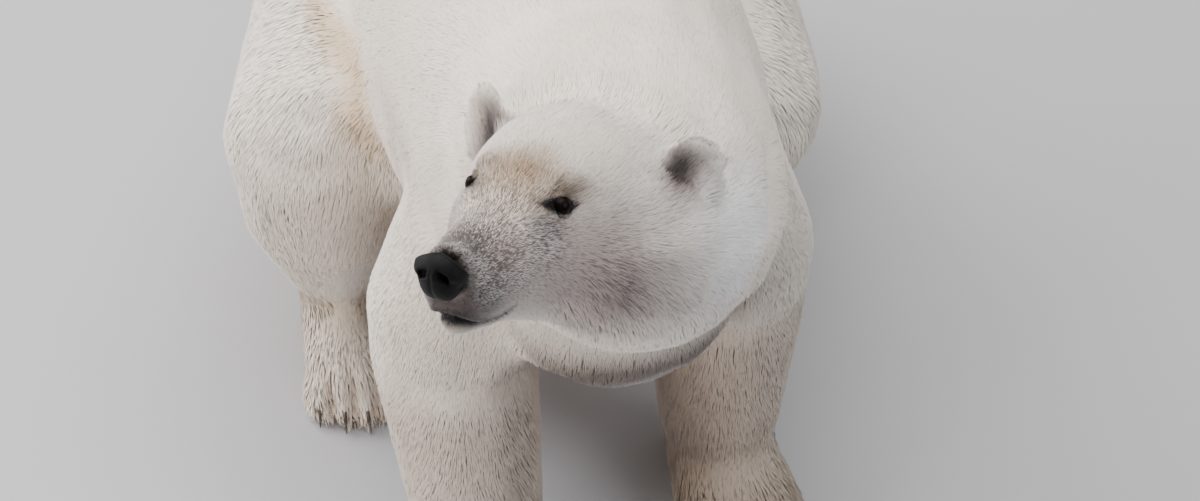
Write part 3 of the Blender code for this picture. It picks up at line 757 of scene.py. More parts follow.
def faceMarks(marks, net, normals, local):
    # Patches, eyes, ears and mouth; gives the share of bare skin at each point
    for place, reach, colour, strength, dark, both in headPatches:
        for side in ((1, -1) if both else (1,)):
            marks.add(blob(local, mirrored(place, side), reach), colour, strength, dark)
    for name, side in sides.items():
        ring, offset = almond(net.points, name, eyeSpec["wider"])
        marks.add(1.0 - smoothStep(ring, *faceSpec["eyeShadeRing"]), "shade", faceSpec["eyeShade"])
        below = smoothStep(-(offset @ eyeFrame(name)[1]), -0.002, 0.002)
        marks.add(1.0 - smoothStep(ring - faceSpec["lowerRim"] * below, *faceSpec["eyeRim"]), "black")
        marks.dark *= smoothStep(ring, 1.5, 2.4)
        # The ear's cup is painted mauve and its hollow dark: darker inner fur, with painted shade in the
        # hollow
        cup = earShare(local, normals, side, "cupReach")
        hollow = earShare(local, normals, side, "hollowReach")
        marks.add(cup, "mauve", faceSpec["cup"])
        marks.add(hollow, "dark", faceSpec["hollow"])
        marks.dark = np.clip(marks.dark + faceSpec["cupDark"] * cup, 0, 1) * (1.0 - 0.7 * hollow)
    above, front = mouthLine(local, mouthSpec["lipFade"])
    lips = np.exp(-((above - faceSpec["lipLine"]) / faceSpec["lipWidth"]) ** 2) * front
    marks.add(lips, "black", faceSpec["lips"])
    rim = blob(local, faceSpec["noseRimPlace"], faceSpec["noseRimReach"])
    marks.add(rim, "dark", faceSpec["noseRim"])
    return np.clip(1.2 * lips + rim, 0, 1)


def markingsAndPaintedLight(net, normals):
    # Colour at each point, the share of dark hairs there, and where the skin is bare
    local = inHead(net.points)
    marks = Marks(net.count)
    bodyMarks(marks, net, normals, blob(local, (0.0, 0.06, -0.02), (0.22, 0.22, 0.22)))
    bare = faceMarks(marks, net, normals, local)
    return np.hstack([marks.tint, np.ones((net.count, 1))]), np.clip(marks.dark, 0, 1) * (1.0 - bare), bare

# The fold behind the ruff, on the stretched side of the neck
ruffSpec = {"edge": 0.290, "width": 0.026, "depth": 0.016, "across": (0.03, 0.10), "top": (0.06, -0.04)}


def shapeEye(net, normals, side):
    # Lids over the eyeball, and the brow above them
    ring, offset = almond(net.points, side)
    distance = np.linalg.norm(offset, axis=1)
    radius = eyeRadius(side)
    inside = radius - eyeSpec["sunk"]
    opening = inside + (radius + eyeSpec["gap"] - inside) * smoothStep(ring, 0.80, 1.0)
    lid = radius + eyeSpec["lidLift"] - eyeSpec["lidRound"] * (1.0 - smoothStep(ring, 1.0, 1.3))
    target = np.where(ring < 1.0, opening, lid)
    share = 1.0 - smoothStep(ring, eyeSpec["lidEdge"], eyeSpec["lidBlend"])
    share = share * (1.0 - smoothStep(distance, *eyeSpec["reach"]))
    moved = net.points - offset + offset / np.maximum(distance, 1e-6)[:, None] * target[:, None]
    net.points += (moved - net.points) * share[:, None]
    brow = blob(inHead(net.points), mirrored(eyeSpec["browPlace"], sides[side]), eyeSpec["browReach"])
    net.points += normals * (eyeSpec["brow"] * brow)[:, None]


def shapeMouth(net, normals, local):
    # A groove with a lip above it; the lower jaw is set back, and narrow in front
    above, front = mouthLine(local, mouthSpec["grooveFade"])
    groove = np.exp(-(above / mouthSpec["width"]) ** 2) * mouthSpec["groove"]
    lip = np.exp(-((above - mouthSpec["lipLine"]) / mouthSpec["lipWidth"]) ** 2) * mouthSpec["lip"]
    net.points += normals * ((lip - groove) * front)[:, None]
    jaw = blob(local, mouthSpec["jaw"], mouthSpec["jawReach"])
    net.points += headBack[None] * (mouthSpec["recede"] * jaw)[:, None]
    net.points -= headLeft[None] * (mouthSpec["pinch"] * jaw * local[:, 0])[:, None]
    chin = blob(local, mouthSpec["chinPlace"], mouthSpec["chinReach"]) * smoothStep(-above, 0.001, 0.008)
    net.points -= headUp[None] * (mouthSpec["chin"] * chin)[:, None]


def shapeSkin(net, normals, depth):
    # Draws the skin in by the depth of the coat, then models eyes, toes, ruff, ears and mouth
    resting = smoothStep(net.points[:, 2], 0.004, 0.030)
    net.points -= normals * (depth * resting)[:, None]
    for side in sides:
        shapeEye(net, normals, side)
    net.points -= normals * (toeSpec["depth"] * toeGaps(net.points))[:, None]
    local = inHead(net.points)
    ruff = np.exp(-((local[:, 1] - ruffSpec["edge"]) / ruffSpec["width"]) ** 2) \
        * smoothStep(local[:, 0], *ruffSpec["across"]) * smoothStep(local[:, 2], *ruffSpec["top"])
    net.points -= normals * (ruffSpec["depth"] * ruff)[:, None]
    for side in sides.values():
        pit = earShare(local, normals, side, "hollowReach")
        net.points -= normals * (earSpec["draw"] * pit)[:, None]
    shapeMouth(net, normals, local)
    net.write()


haunchSpec = {"spread": 120, "spreadBelly": 60, "spreadRump": 30, "passes": 160, "from": (0.15, 0.30),
              "rump": 0.55}


def settleHaunches(net):
    # Behind the fold the haunches run softly into the trunk, and the rump is round
    weight = sum(nearness(net, ["thigh_" + side], ["belly", "rump"], haunchSpec["spread"]) for side in sides)
    weight = weight + nearness(net, ["belly"], ["rump"], haunchSpec["spreadBelly"])
    rump = shareOf(net, ["rump"], haunchSpec["spreadRump"])
    weight = np.clip(np.maximum(weight, haunchSpec["rump"] * rump), 0, 1)
    weight = weight * smoothStep(net.points[:, 1], *haunchSpec["from"])
    weight = (weight * smoothStep(net.points[:, 2], 0.02, 0.08))[:, None]
    for _ in range(haunchSpec["passes"]):
        net.points += 0.5 * weight * (net.around(net.points) - net.points)
    net.write()


hairSpec = {
    "thin": 0.0007, "perLength": 0.048,    # width of a tuft, and how it grows with its length
    "hanging": 7.0, "fringe": 0.012, "fringeLift": 9.0, "fringePlace": (0.04, 0.08, -0.15),
    "fringeReach": (0.12, 0.12, 0.05), "lidHair": 0.0024,
    "nose": (0.0, -0.182, -0.066), "noseReach": (0.033, 0.022, 0.031), "lipGap": 0.0046,
    "drawn": 0.95,                         # how far the skin is drawn in, by the height of its coat
}

settleHaunches(net)
normals = net.normals()
hair = hairTable(net)
depth = hair[:, 0] * np.sin(np.radians(hair[:, 1])) * hairSpec["drawn"]
shapeSkin(net, normals, np.where(onNodes(["ear_left", "ear_right"]), earSpec["depth"], depth))
print("skin shaped")

normals = net.normals()
flow = layHair(net, normals)
creases = {side: net.spread(creaseAt(net, normals, side)[:, None], 3)[:, 0] for side in sides}
tint, darkShare, bare = markingsAndPaintedLight(net, normals)


def furAttributes(net):
    # What the tufts read at their roots: the coat opens at the lids, lips and nose, and under the soles
    length, lift, clump, cover = hair.T
    for side in sides:
        clump = clump + creaseSpec["clump"] * creases[side]
        lift = lift + creaseSpec["lift"] * creases[side]
    local = inHead(net.points)
    upward = net.normals()[:, 2]
    hanging = smoothStep(-upward, -0.1, 0.7) * smoothStep(net.points[:, 2], 0.30, 0.36)
    fringe = blob(local, hairSpec["fringePlace"], hairSpec["fringeReach"])
    lift = lift + hanging * (hairSpec["hanging"] + hairSpec["fringeLift"] * fringe)
    length = length + hairSpec["fringe"] * fringe * hanging
    width = hairSpec["thin"] + hairSpec["perLength"] * length
    density = cover / (0.5 * length * width)
    for side in sides:
        ring = almond(net.points, side)[0]
        density = density * smoothStep(ring, 1.30, 1.70)
        length = np.minimum(length, hairSpec["lidHair"] + hairSpec["lidHair"] * np.clip(ring - 1.1, 0, 9))
    above, front = mouthLine(local, mouthSpec["lipFade"])
    density = density * (1.0 - front * np.exp(-((above - faceSpec["lipLine"]) / hairSpec["lipGap"]) ** 4))
    nose = blob(local, hairSpec["nose"], hairSpec["noseReach"])
    density = density * (1.0 - smoothStep(nose, 0.45, 0.75))
    floor = smoothStep(net.points[:, 2], 0.003, 0.012)
    density = density * np.clip(floor + smoothStep(upward, -0.75, -0.45), 0, 1)
    net.store("flow", "FLOAT_VECTOR", flow)
    numbers = {"furLength": length, "furWidth": width, "furLift": np.radians(lift), "furClump": clump,
               "furDensity": density, "dark": darkShare, "bare": bare}
    for name, values in numbers.items():
        net.store(name, "FLOAT", values)
    net.store("tint", "FLOAT_COLOR", tint)


furAttributes(net)

# Each coat piece and the nodes whose coat it holds
coatPieces = {
    "coatFaceLeft": [],
    "coatFaceRight": [],
    "coatHead": ["head", "lower_jaw"],
    "coatEars": ["ear_left", "ear_right"],
    "coatNeck": ["neck"],
    "coatChest": ["chest"],
    "coatBelly": ["belly"],
    "coatRump": ["rump", "tail"],
    "coatForelegLeft": ["upper_arm_left", "forearm_left", "forepaw_left"],
    "coatForelegRight": ["upper_arm_right", "forearm_right", "forepaw_right"],
    "coatHindLegLeft": ["thigh_left", "shank_left", "hind_paw_left"],
    "coatHindLegRight": ["thigh_right", "shank_right", "hind_paw_right"],
}


faceEnds = 0.020    # how far back the face's own coat pieces reach, in the head's frame


def markRegions(net):
    # A number on each face for the coat piece that grows there; the front of the head has two of its own
    names = list(coatPieces)
    pieceOf = np.array([next(k for k, name in enumerate(names) if node in coatPieces[name])
                        for node in fleshNodes])
    corners = readRows(net.mesh.loops, "vertex_index", kind=np.int64)
    vert = corners[readRows(net.mesh.polygons, "loop_start", kind=np.int64)]
    region = pieceOf[nodeAt[vert]]
    local = inHead(net.points[vert])
    face = (local[:, 1] < faceEnds) & (region == names.index("coatHead"))
    region[face & (local[:, 0] > 0)] = names.index("coatFaceLeft")
    region[face & (local[:, 0] <= 0)] = names.index("coatFaceRight")
    net.store("region", "INT", region.astype(np.int32), "FACE")


markRegions(net)


def unwrap(thing):
    bpy.context.view_layer.objects.active = thing
    thing.select_set(True)
    thing.data.uv_layers.new(name="OFBake")
    bpy.ops.object.mode_set(mode="EDIT")
    bpy.ops.mesh.select_all(action="SELECT")
    bpy.ops.uv.smart_project(angle_limit=skinSpec["mapAngle"], island_margin=skinSpec["mapMargin"])
    bpy.ops.object.mode_set(mode="OBJECT")
    thing.select_set(False)


unwrap(skin)
print("skin unwrapped")


# Finishes

pepperSpec = {
    "deep": (0.26, 0.23, 0.22, 1.0), "deepShare": (0.40, 0.62), "deepEdge": (-0.08, 0.12),
    "pale": (0.86, 0.80, 0.76, 1.0), "paleShare": 0.50, "paleChance": 0.55, "paleEdge": (0.98, 1.12),
    "paleFrom": (0.40, 0.75),
}


def peppered(graph, tint, chance):
    # Dark hairs and pale ones among the rest, by the share of dark hairs at the place
    share = graph.attribute("dark")
    dark = graph.smooth(share - chance, *pepperSpec["deepEdge"])
    deep = graph.mixColour(1.0, tint, pepperSpec["deep"], "MULTIPLY")
    pale = graph.smooth(share * pepperSpec["paleChance"] + chance, *pepperSpec["paleEdge"])
    pale = pale * graph.smooth(share, *pepperSpec["paleFrom"])
    lighter = graph.mixColour(pepperSpec["paleShare"] * pale, tint, pepperSpec["pale"])
    least, more = pepperSpec["deepShare"]
    return graph.mixColour((least + more * share) * dark, lighter, deep)


def coatSurface():
    # Hair: the markings and painted light at its root, warmer in broad patches, darker deep in the coat with
    # painted shade
    material, graph, shader = surface("bear coat", {
        "Roughness": 0.62, "Specular IOR Level": 0.25, "Sheen Weight": 0.25, "Sheen Roughness": 0.5})
    chance = graph.attribute("chance")
    tint = graph.attribute("tint", "Color")
    broad = graph.smooth(graph.noise(graph.objectPlace(), 5.0), 0.42, 0.68)
    warm = graph.mixColour(0.22 * broad, tint, (0.80, 0.70, 0.56, 1.0), "MULTIPLY")
    # Painted shade: each tuft is darker towards its root
    shade = 0.90 + 0.10 * graph.smooth(graph.attribute("along"), 0.0, 0.6)
    hair = graph.shaded(warm, shade * (0.96 + 0.05 * chance))
    mixed = graph.smooth(0.22 * graph.attribute("lock") + 0.78 * chance, 0.06, 0.94)
    feed(shader, {"Base Color": peppered(graph, hair, mixed)})
    return material


def skinSurface():
    # The same markings and painted light and shade, with hair-like streaks and the pores of bare lips and
    # lids
    material, graph, shader = surface("bear skin", {"Specular IOR Level": 0.14})
    place = graph.objectPlace()
    bareSkin = graph.attribute("bare")
    fine = graph.noise(place, 420.0, 4.0, 0.6)
    pores = graph.add("ShaderNodeTexVoronoi", {}, {"Vector": place, "Scale": 600.0}, output="Distance")
    hair = graph.shaded(graph.attribute("tint", "Color"), 0.92 + 0.08 * graph.smooth(fine, 0.3, 0.7))
    feed(shader, {
        "Base Color": peppered(graph, hair, graph.smooth(fine, 0.25, 0.75)),
        "Roughness": 0.80 - 0.42 * bareSkin,
        "Normal": graph.bump(0.45, 0.0012, fine * (1 - bareSkin) + pores * bareSkin),
    })
    return material


coatFinish = coatSurface()
skin.data.materials.clear()
skin.data.materials.append(skinSurface())
skin.data.shade_smooth()


# The coat

tuftSpec = {
    "widest": 0.34, "ridge": 0.30,         # where along a tuft it is widest, and the height of its ridge
    "swirl": 0.45, "stray": 0.11, "liftNoise": 0.20, "lockReach": 1.15,
    "locks": 9000.0, "lockSeed": 7,        # guides to the square metre
    "fineLocks": {"coatFaceLeft": 150000.0, "coatFaceRight": 150000.0, "coatHead": 40000.0,
                  "coatEars": 60000.0},
    "softness": 0.90, "fineSoftness": 0.76, "patch": 0.003, "floor": 0.0005,
}


def tuftShape(graph):
    # One tuft of four triangles, 1 long and 1 wide: root and tip joined by a ridge over two side corners
    cone = graph.add("GeometryNodeMeshCone", {"fill_type": "NGON"}, {
        "Vertices": 3, "Side Segments": 1, "Radius Top": 0.0, "Radius Bottom": 1.0, "Depth": 1.0})

    # The cone's tip becomes the root, and one corner of its base, at x of 1, the tip
    x, y, z = graph.split(graph.add("GeometryNodeInputPosition"))
    notRoot = 1.0 - z
    ahead = (x + 0.5) / 1.5
    along = notRoot * (tuftSpec["widest"] + (1.0 - tuftSpec["widest"]) * ahead)
    across = y * -0.577    # half a width to each side, with the faces turned outwards
    up = notRoot * (1.0 - ahead) * -tuftSpec["ridge"]
    tuft = graph.stored(cone, "along", along)
    tuft = graph.stored(tuft, "local", graph.combine(across, along - 0.5), "FLOAT_VECTOR")
    return graph.add("GeometryNodeSetPosition", {}, {
        "Geometry": tuft, "Position": graph.combine(across, along, up)})


def coatTree():
    # Closed tufts over the faces of one region: thin, overlapping, lying close to the skin
    tree = bpy.data.node_groups.new("coat", "GeometryNodeTree")
    graph = Graph(tree)
    for name, kind in (("Skin", "Geometry"), ("Region", "Int"), ("Seed", "Int"), ("Locks", "Float"),
                       ("Material", "Material")):
        tree.interface.new_socket(name, in_out="INPUT", socket_type="NodeSocket" + kind)
    tree.interface.new_socket("Coat", in_out="OUTPUT", socket_type="NodeSocketGeometry")
    given = graph.add("NodeGroupInput", output="Skin")
    here = graph.add("FunctionNodeCompare", {"data_type": "INT", "operation": "EQUAL"},
                     {2: graph.field("region", "INT"), 3: given.output("Region")})
    roots = graph.scatter(given, here, graph.field("furDensity"), given.output("Seed"))
    guides = graph.scatter(given, here, given.output("Locks"), tuftSpec["lockSeed"])

    # Hair leans towards the tip of the nearest guide, so that it gathers in locks
    place = graph.add("GeometryNodeInputPosition")
    nearest = graph.add("GeometryNodeSampleNearest", {"domain": "POINT"}, {"Geometry": guides})
    flow = graph.field("flow", "FLOAT_VECTOR")
    length = graph.field("furLength")
    guideFlow = graph.sample(guides, nearest, flow)
    lock = graph.sample(guides, nearest, graph.random(0.0, 1.0, 5), "FLOAT")
    tip = graph.vectors("ADD", graph.sample(guides, nearest, place),
                        graph.scaled(guideFlow, length * tuftSpec["lockReach"]))
    toLock = graph.vectors("NORMALIZE", graph.vectors("SUBTRACT", tip, place))
    lean = graph.mixVector(graph.field("furClump"), flow, toLock)

    # It also swirls a little from place to place, and strays from tuft to tuft
    swirl = graph.noise(place, 14.0, 2.0) - 0.5
    stray = graph.random(-tuftSpec["stray"], tuftSpec["stray"], 11)
    normal = roots.output("Normal")
    turned = graph.add("ShaderNodeVectorRotate", {"rotation_type": "AXIS_ANGLE"}, {
        "Vector": lean, "Axis": normal, "Angle": swirl * (2 * tuftSpec["swirl"]) + stray})
    rise = graph.noise(place, 60.0, 2.0)
    lift = graph.field("furLift") * (1.0 - tuftSpec["liftNoise"] + 2 * tuftSpec["liftNoise"] * rise)
    chance = graph.random(0.0, 1.0, 3)
    turn = graph.add("FunctionNodeAxesToRotation", {"primary_axis": "Z", "secondary_axis": "Y"},
                     {"Primary Axis": normal, "Secondary Axis": turned})
    tilt = graph.add("FunctionNodeEulerToRotation", {}, {0: graph.combine(lift * (0.75 + 0.5 * chance))})
    turn = graph.add("FunctionNodeRotateRotation", {"rotation_space": "LOCAL"},
                     {"Rotation": turn, "Rotate By": tilt})
    width = graph.field("furWidth")
    size = graph.combine(width * (0.75 + 0.5 * chance), length * (0.80 + 0.40 * (1 - chance)), width)

    points = graph.stored(roots, "chance", chance)
    points = graph.stored(points, "lock", lock)
    points = graph.stored(points, "skinNormal", normal, "FLOAT_VECTOR")
    points = graph.stored(points, "rootUV", graph.field("OFBake", "FLOAT_VECTOR"), "FLOAT_VECTOR")
    tufts = graph.add("GeometryNodeInstanceOnPoints", {}, {
        "Points": points, "Instance": tuftShape(graph), "Rotation": turn, "Scale": size})
    tufts = graph.without(tufts, ("OFBake", "id", "flow", "furLength", "furWidth", "furLift", "furClump",
                                  "furDensity", "bare", "region"))
    coat = graph.add("GeometryNodeRealizeInstances", {}, {"Geometry": tufts})

    # Nothing hangs below the floor
    x, y, z = graph.split(graph.add("GeometryNodeInputPosition"))
    floored = graph.combine(x, y, graph.maths("MAXIMUM", z, tuftSpec["floor"]))
    coat = graph.add("GeometryNodeSetPosition", {}, {"Geometry": coat, "Position": floored})

    # Each tuft takes a small patch of the skin's own map, round its root
    patch = graph.scaled(graph.field("local", "FLOAT_VECTOR"), tuftSpec["patch"])
    spot = graph.vectors("ADD", graph.field("rootUV", "FLOAT_VECTOR"), patch)
    coat = graph.without(graph.stored(coat, "OFBake", spot, "FLOAT2", "CORNER"), ("rootUV", "local"))
    coat = graph.add("GeometryNodeSetMaterial", {}, {"Geometry": coat, "Material": given.output("Material")})
    graph.add("NodeGroupOutput", {}, {"Coat": coat})
    return tree


def softNormals(thing, share):
    # Hair lies in a soft mass: most of its shading follows the skin below
    mesh = thing.data
    below = readRows(mesh.attributes["skinNormal"].data, "vector", 3)
    own = readRows(mesh.vertices, "normal", 3)
    mesh.attributes.remove(mesh.attributes["skinNormal"])
    mesh.shade_smooth()
    blended = unit(below * share + own * (1.0 - share))
    mesh.normals_split_custom_set_from_vertices(blended.astype(np.float32))


def growCoat():
    tree = coatTree()
    sockets = {item.name: item.identifier for item in tree.interface.items_tree if item.in_out == "INPUT"}
    pieces = []
    for index, name in enumerate(coatPieces):
        coat = newObject(name, skin.data)
        grow = coat.modifiers.new("grow", "NODES")
        grow.node_group = tree
        values = {"Region": index, "Seed": 20 + index, "Material": coatFinish,
                  "Locks": tuftSpec["fineLocks"].get(name, tuftSpec["locks"])}
        for key, value in values.items():
            grow[sockets[key]] = value
        plainMesh(coat)
        softNormals(coat, tuftSpec["fineSoftness" if name in tuftSpec["fineLocks"] else "softness"])
        print("  ", name, len(coat.data.polygons), "triangles")
        pieces.append(coat)
    return pieces


coats = growCoat()
print("coat grown:", sum(len(c.data.polygons) for c in coats), "triangles")


# Eyes

eyeLook = {
    "rings": 40, "segments": 48, "cornea": 0.0011, "corneaFrom": (0.70, 0.90),
    "pupil": (0.27, 0.32), "iris": (0.62, 0.70),     # where each ends, from 0 in its middle to 1 at the side
    "black": (0.002, 0.002, 0.002, 1), "brown": ((0.005, 0.003, 0.002, 1), (0.011, 0.006, 0.004, 1)),
    "outer": (0.006, 0.004, 0.0035, 1),
}


def eyePiece(side, material):
    # An eyeball with a bulging cornea; "gaze" runs from 0 at the pupil's middle to 1 at the side and behind
    along, upper, outward = (Vector(way) for way in eyeFrame(side))
    axes = Matrix((along, upper, outward)).transposed()
    if axes.determinant() < 0:
        axes = Matrix((-along, upper, outward)).transposed()
    shape = bmesh.new()
    bmesh.ops.create_uvsphere(shape, u_segments=eyeLook["segments"], v_segments=eyeLook["rings"], radius=1.0)
    gaze = []
    for vert in shape.verts:
        bulge = eyeRadius(side) + eyeLook["cornea"] * smoothStep(max(0.0, vert.co.z), *eyeLook["corneaFrom"])
        gaze.append(math.hypot(vert.co.x, vert.co.y) if vert.co.z > 0 else 1.0)
        vert.co = middle("eye_" + side) + axes @ (vert.co * bulge)
    mesh = bpy.data.meshes.new("eye")
    shape.to_mesh(mesh)
    shape.free()
    mesh.attributes.new("gaze", "FLOAT", "POINT").data.foreach_set("value", gaze)
    mesh.materials.append(material)
    mesh.shade_smooth()
    return newObject("eye" + side.capitalize(), mesh)


def eyeSurface():
    material, graph, shader = surface("wet brown eye", {
        "Roughness": 0.28, "Coat Weight": 0.012, "Coat Roughness": 0.10, "Specular IOR Level": 0.05})
    away = graph.attribute("gaze")
    streaks = graph.smooth(graph.noise(graph.objectPlace(), 900.0, 3.0, 0.6), 0.3, 0.7)
    iris = graph.mixColour(streaks, *eyeLook["brown"])
    colour = graph.mixColour(graph.smooth(away, *eyeLook["iris"]), iris, eyeLook["outer"])
    pupil = 1.0 - graph.smooth(away, *eyeLook["pupil"])
    feed(shader, {"Base Color": graph.mixColour(pupil, colour, eyeLook["black"])})
    return material


eyeFinish = eyeSurface()
eyes = {side: eyePiece(side, eyeFinish) for side in sides}
print("eyes made")


# Nose

noseSpec = {
    "place": (0.0015, -0.175, -0.0625), "radii": (0.0285, 0.027, 0.0275), "segments": 96, "rings": 64,
    "squareness": 0.30, "middle": 0.77, "narrowing": 0.25, "slope": 0.006,
    "roof": (0.359, 0.378, 0.853), "roofHeight": 0.0165, "roofShare": 0.22,
    "nostril": (0.0118, 0.0002), "nostrilReach": (0.0058, 0.0052), "nostrilDepth": 0.010, "slant": 0.35,
    "wing": (0.022, -0.004), "wingReach": (0.005, 0.004), "wingDepth": 0.003,
    "groove": 0.0011, "grooveWidth": 0.0020,
}


def nosePiece(material):
    # A square pad, broad above, with two comma nostrils and a groove down its middle
    shape = bmesh.new()
    bmesh.ops.create_uvsphere(shape, u_segments=noseSpec["segments"], v_segments=noseSpec["rings"],
                              radius=1.0, matrix=Matrix.Rotation(math.pi / 2, 4, "X"))
    mesh = bpy.data.meshes.new("nosePad")
    shape.to_mesh(mesh)
    shape.free()
    pad = Net(mesh)
    x, y, z = pad.points.T
    square = 1.0 + noseSpec["squareness"] * np.abs(x * z)
    wide, deep, tall = noseSpec["radii"]
    broad = noseSpec["middle"] + noseSpec["narrowing"] * smoothStep(z, -0.40, 0.05)
    spot = np.stack([x * square * broad * wide, y * deep, z * square * tall], axis=1)
    spot[:, 1] += noseSpec["slope"] * np.maximum(0.0, -z)
    for side in (1, -1):
        roof = mirrored(noseSpec["roof"], side)
        over = np.maximum(0.0, spot @ roof - noseSpec["roofHeight"])
        spot -= (over * (1.0 - noseSpec["roofShare"]))[:, None] * roof
    front = smoothStep(-y, 0.15, 0.45)
    across, level = noseSpec["nostril"]
    reachX, reachZ = noseSpec["nostrilReach"]
    outward = np.abs(spot[:, 0])
    slant = (spot[:, 2] - level) + noseSpec["slant"] * (outward - across)
    pit = np.exp(-((outward - across) / reachX) ** 4 - (slant / reachZ) ** 4)
    across, level = noseSpec["wing"]
    reachX, reachZ = noseSpec["wingReach"]
    wing = np.exp(-((outward - across) / reachX) ** 2 - ((spot[:, 2] - level) / reachZ) ** 2)
    spot[:, 1] += front * (noseSpec["nostrilDepth"] * pit + noseSpec["wingDepth"] * wing)
    seam = np.exp(-(spot[:, 0] / noseSpec["grooveWidth"]) ** 2) * smoothStep(-spot[:, 2], -0.012, 0.004)
    spot[:, 1] += front * noseSpec["groove"] * seam
    turn = np.array(head.to_3x3())
    pad.points = (spot + np.array(noseSpec["place"])) @ turn.T + np.array(head.translation)
    pad.write()
    pad.store("pit", "FLOAT", pit * front)
    mesh.materials.append(material)
    mesh.shade_smooth()
    return newObject("nosePad", mesh)


def noseSurface():
    # Black leather with a pebbled grain
    material, graph, shader = surface("nose leather", {"Specular IOR Level": 0.12})
    place = graph.objectPlace()
    cells = graph.add("ShaderNodeTexVoronoi", {"feature": "DISTANCE_TO_EDGE"},
                      {"Vector": place, "Scale": 520.0}, output="Distance")
    cloud = graph.noise(place, 60.0)
    pit = graph.attribute("pit")
    base = graph.mixColour(graph.smooth(cloud, 0.35, 0.65),
                           (0.0025, 0.0024, 0.0027, 1), (0.0060, 0.0056, 0.0060, 1))
    feed(shader, {
        # Painted shade: the nostril pits are darker than the rest of the leather
        "Base Color": graph.mixColour(pit, base, (0.002, 0.002, 0.002, 1)),
        "Roughness": 0.46 + 0.20 * cloud + 0.3 * pit,
        "Normal": graph.bump(0.22, 0.0006, graph.smooth(cells, 0.0, 0.28)),
    })
    return material


nose = nosePiece(noseSurface())
print("nose made")


# Claws

clawSpec = {"levels": 2, "size": 0.80, "sink": 0.004}


def clawSurface():
    material, graph, shader = surface("claw horn", {"Specular IOR Level": 0.5, "Coat Weight": 0.2,
                                                    "Coat Roughness": 0.2})
    rings = graph.noise(graph.objectPlace(), 260.0, 4.0, 0.6)
    feed(shader, {
        "Base Color": graph.mixColour(graph.smooth(rings, 0.3, 0.7),
                                      (0.030, 0.022, 0.016, 1), (0.085, 0.062, 0.042, 1)),
        "Roughness": 0.28 + 0.22 * rings,
        "Normal": graph.bump(0.25, 0.0004, rings),
    })
    return material


def clawsOf(foot, material):
    # The five claws of a foot, a little smaller than the nodes they stand for, and rounded off
    shape = bmesh.new()
    for node in sorted(clawsOn(foot)):
        before = len(shape.verts)
        shape.from_mesh(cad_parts[node].data)
        shape.verts.ensure_lookup_table()
        low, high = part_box(node)
        root = Vector(((low.x + high.x) / 2, high.y, (low.z + high.z) / 2))
        for vert in shape.verts[before:]:
            vert.co = root + (vert.co - root) * clawSpec["size"]
            vert.co.z = max(low.z, vert.co.z - clawSpec["sink"])
    bmesh.ops.remove_doubles(shape, verts=shape.verts, dist=1e-6)
    mesh = bpy.data.meshes.new("claws")
    shape.to_mesh(mesh)
    shape.free()
    side = foot.rsplit("_", 1)[1].capitalize()
    thing = newObject("claws" + ("Fore" if foot.startswith("fore") else "Hind") + side, mesh)
    rounding = thing.modifiers.new("round", "SUBSURF")
    rounding.levels = clawSpec["levels"]
    rounding.render_levels = clawSpec["levels"]
    plainMesh(thing)
    thing.data.materials.clear()
    thing.data.materials.append(material)
    thing.data.shade_smooth()
    return thing


clawFinish = clawSurface()
claws = {foot: clawsOf(foot, clawFinish) for foot in feet}
print("claws made")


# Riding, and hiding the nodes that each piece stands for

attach(skin, "root")
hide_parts(*fleshNodes)
for coat in coats:
    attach(coat, "root")
for side, eye in eyes.items():
    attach(eye, "root")
    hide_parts("eye_" + side)
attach(nose, "root")
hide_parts("nose_pad")
for foot, piece in claws.items():
    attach(piece, "root")
    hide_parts(*clawsOn(foot))


# Floor, light and camera

stageSpec = {
    "floorSize": 60.0, "floorColour": (0.480, 0.480, 0.500, 1), "sky": (1.0, 1.0, 1.0, 1),
    "skyStrength": 0.04, "lampAim": (0.0, 0.0, 0.45),
}

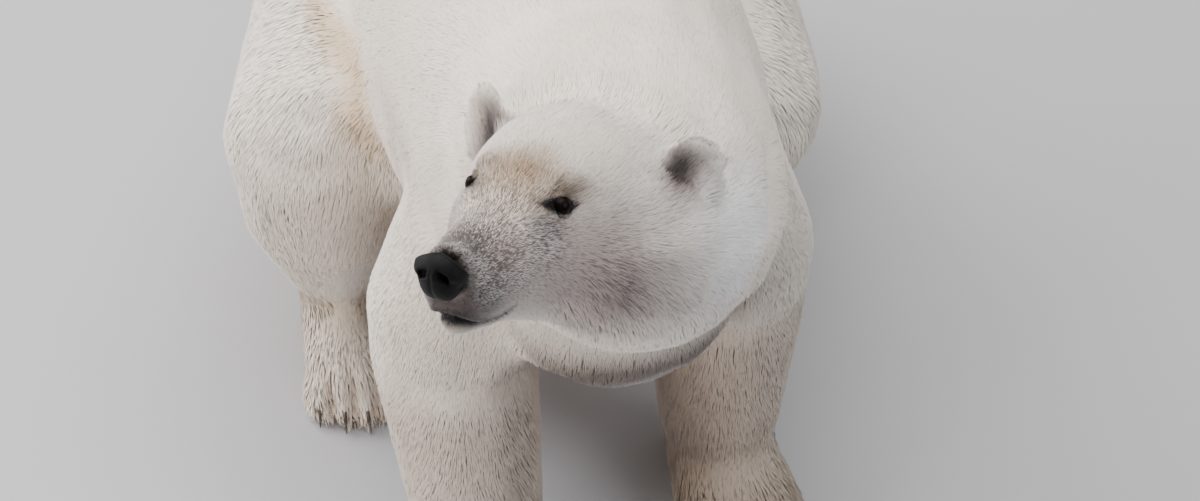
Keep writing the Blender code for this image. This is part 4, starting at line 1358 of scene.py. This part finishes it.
# Wide soft lamps, by place, size, power and colour: overhead, behind on the animal's right, a high one in
# front on its left, and a low one on its right
lampSpecs = {
    "overhead": ((0.0, 0.3, 3.8), 4.0, 198, (1.0, 0.975, 0.955)),
    "behind": ((-2.6, 2.2, 2.4), 3.4, 232, (1.0, 0.975, 0.96)),
    "frontLeft": ((2.6, -2.8, 2.4), 2.8, 84, (0.90, 0.95, 1.0)),
    "lowRight": ((-3.0, -2.0, 0.7), 1.6, 88, (1.0, 0.96, 0.94)),
}

cameraSpec = {"azimuth": math.radians(-11), "elevation": math.radians(43), "distance": 10.0,
              "target": (0.0350, -0.1875, 0.376), "lens": 264.0, "sensor": 36.0, "sees": 60.0}


def buildFloor():
    half = stageSpec["floorSize"] / 2
    mesh = bpy.data.meshes.new("floor")
    mesh.from_pydata([(-half, -half, 0), (half, -half, 0), (half, half, 0), (-half, half, 0)], [],
                     [(0, 1, 2, 3)])
    mesh.materials.append(surface("floor", {"Base Color": stageSpec["floorColour"], "Roughness": 0.9,
                                            "Specular IOR Level": 0.1})[0])
    newObject("floor", mesh)


def buildLight():
    world = bpy.data.worlds.new("sky")
    world.use_nodes = True
    back = world.node_tree.nodes["Background"]
    back.inputs["Color"].default_value = stageSpec["sky"]
    back.inputs["Strength"].default_value = stageSpec["skyStrength"]
    bpy.context.scene.world = world
    for name, (place, size, power, colour) in lampSpecs.items():
        lamp = bpy.data.lights.new(name, "AREA")
        lamp.shape = "DISK"
        lamp.size = size
        lamp.energy = power
        lamp.color = colour
        thing = newObject(name, lamp)
        thing.location = place
        aim = Vector(stageSpec["lampAim"]) - Vector(place)
        thing.rotation_euler = aim.to_track_quat("-Z", "Y").to_euler()


def buildCamera():
    azimuth, elevation = cameraSpec["azimuth"], cameraSpec["elevation"]
    back = Vector((math.sin(azimuth) * math.cos(elevation), -math.cos(azimuth) * math.cos(elevation),
                   math.sin(elevation)))
    lens = bpy.data.cameras.new("camera")
    lens.lens = cameraSpec["lens"]
    lens.sensor_width = cameraSpec["sensor"]
    lens.clip_end = cameraSpec["sees"]
    camera = newObject("camera", lens)
    camera.location = Vector(cameraSpec["target"]) + back * cameraSpec["distance"]
    camera.rotation_euler = (-back).to_track_quat("-Z", "Y").to_euler()
    bpy.context.scene.camera = camera


buildFloor()
buildLight()
buildCamera()
print("stage set")
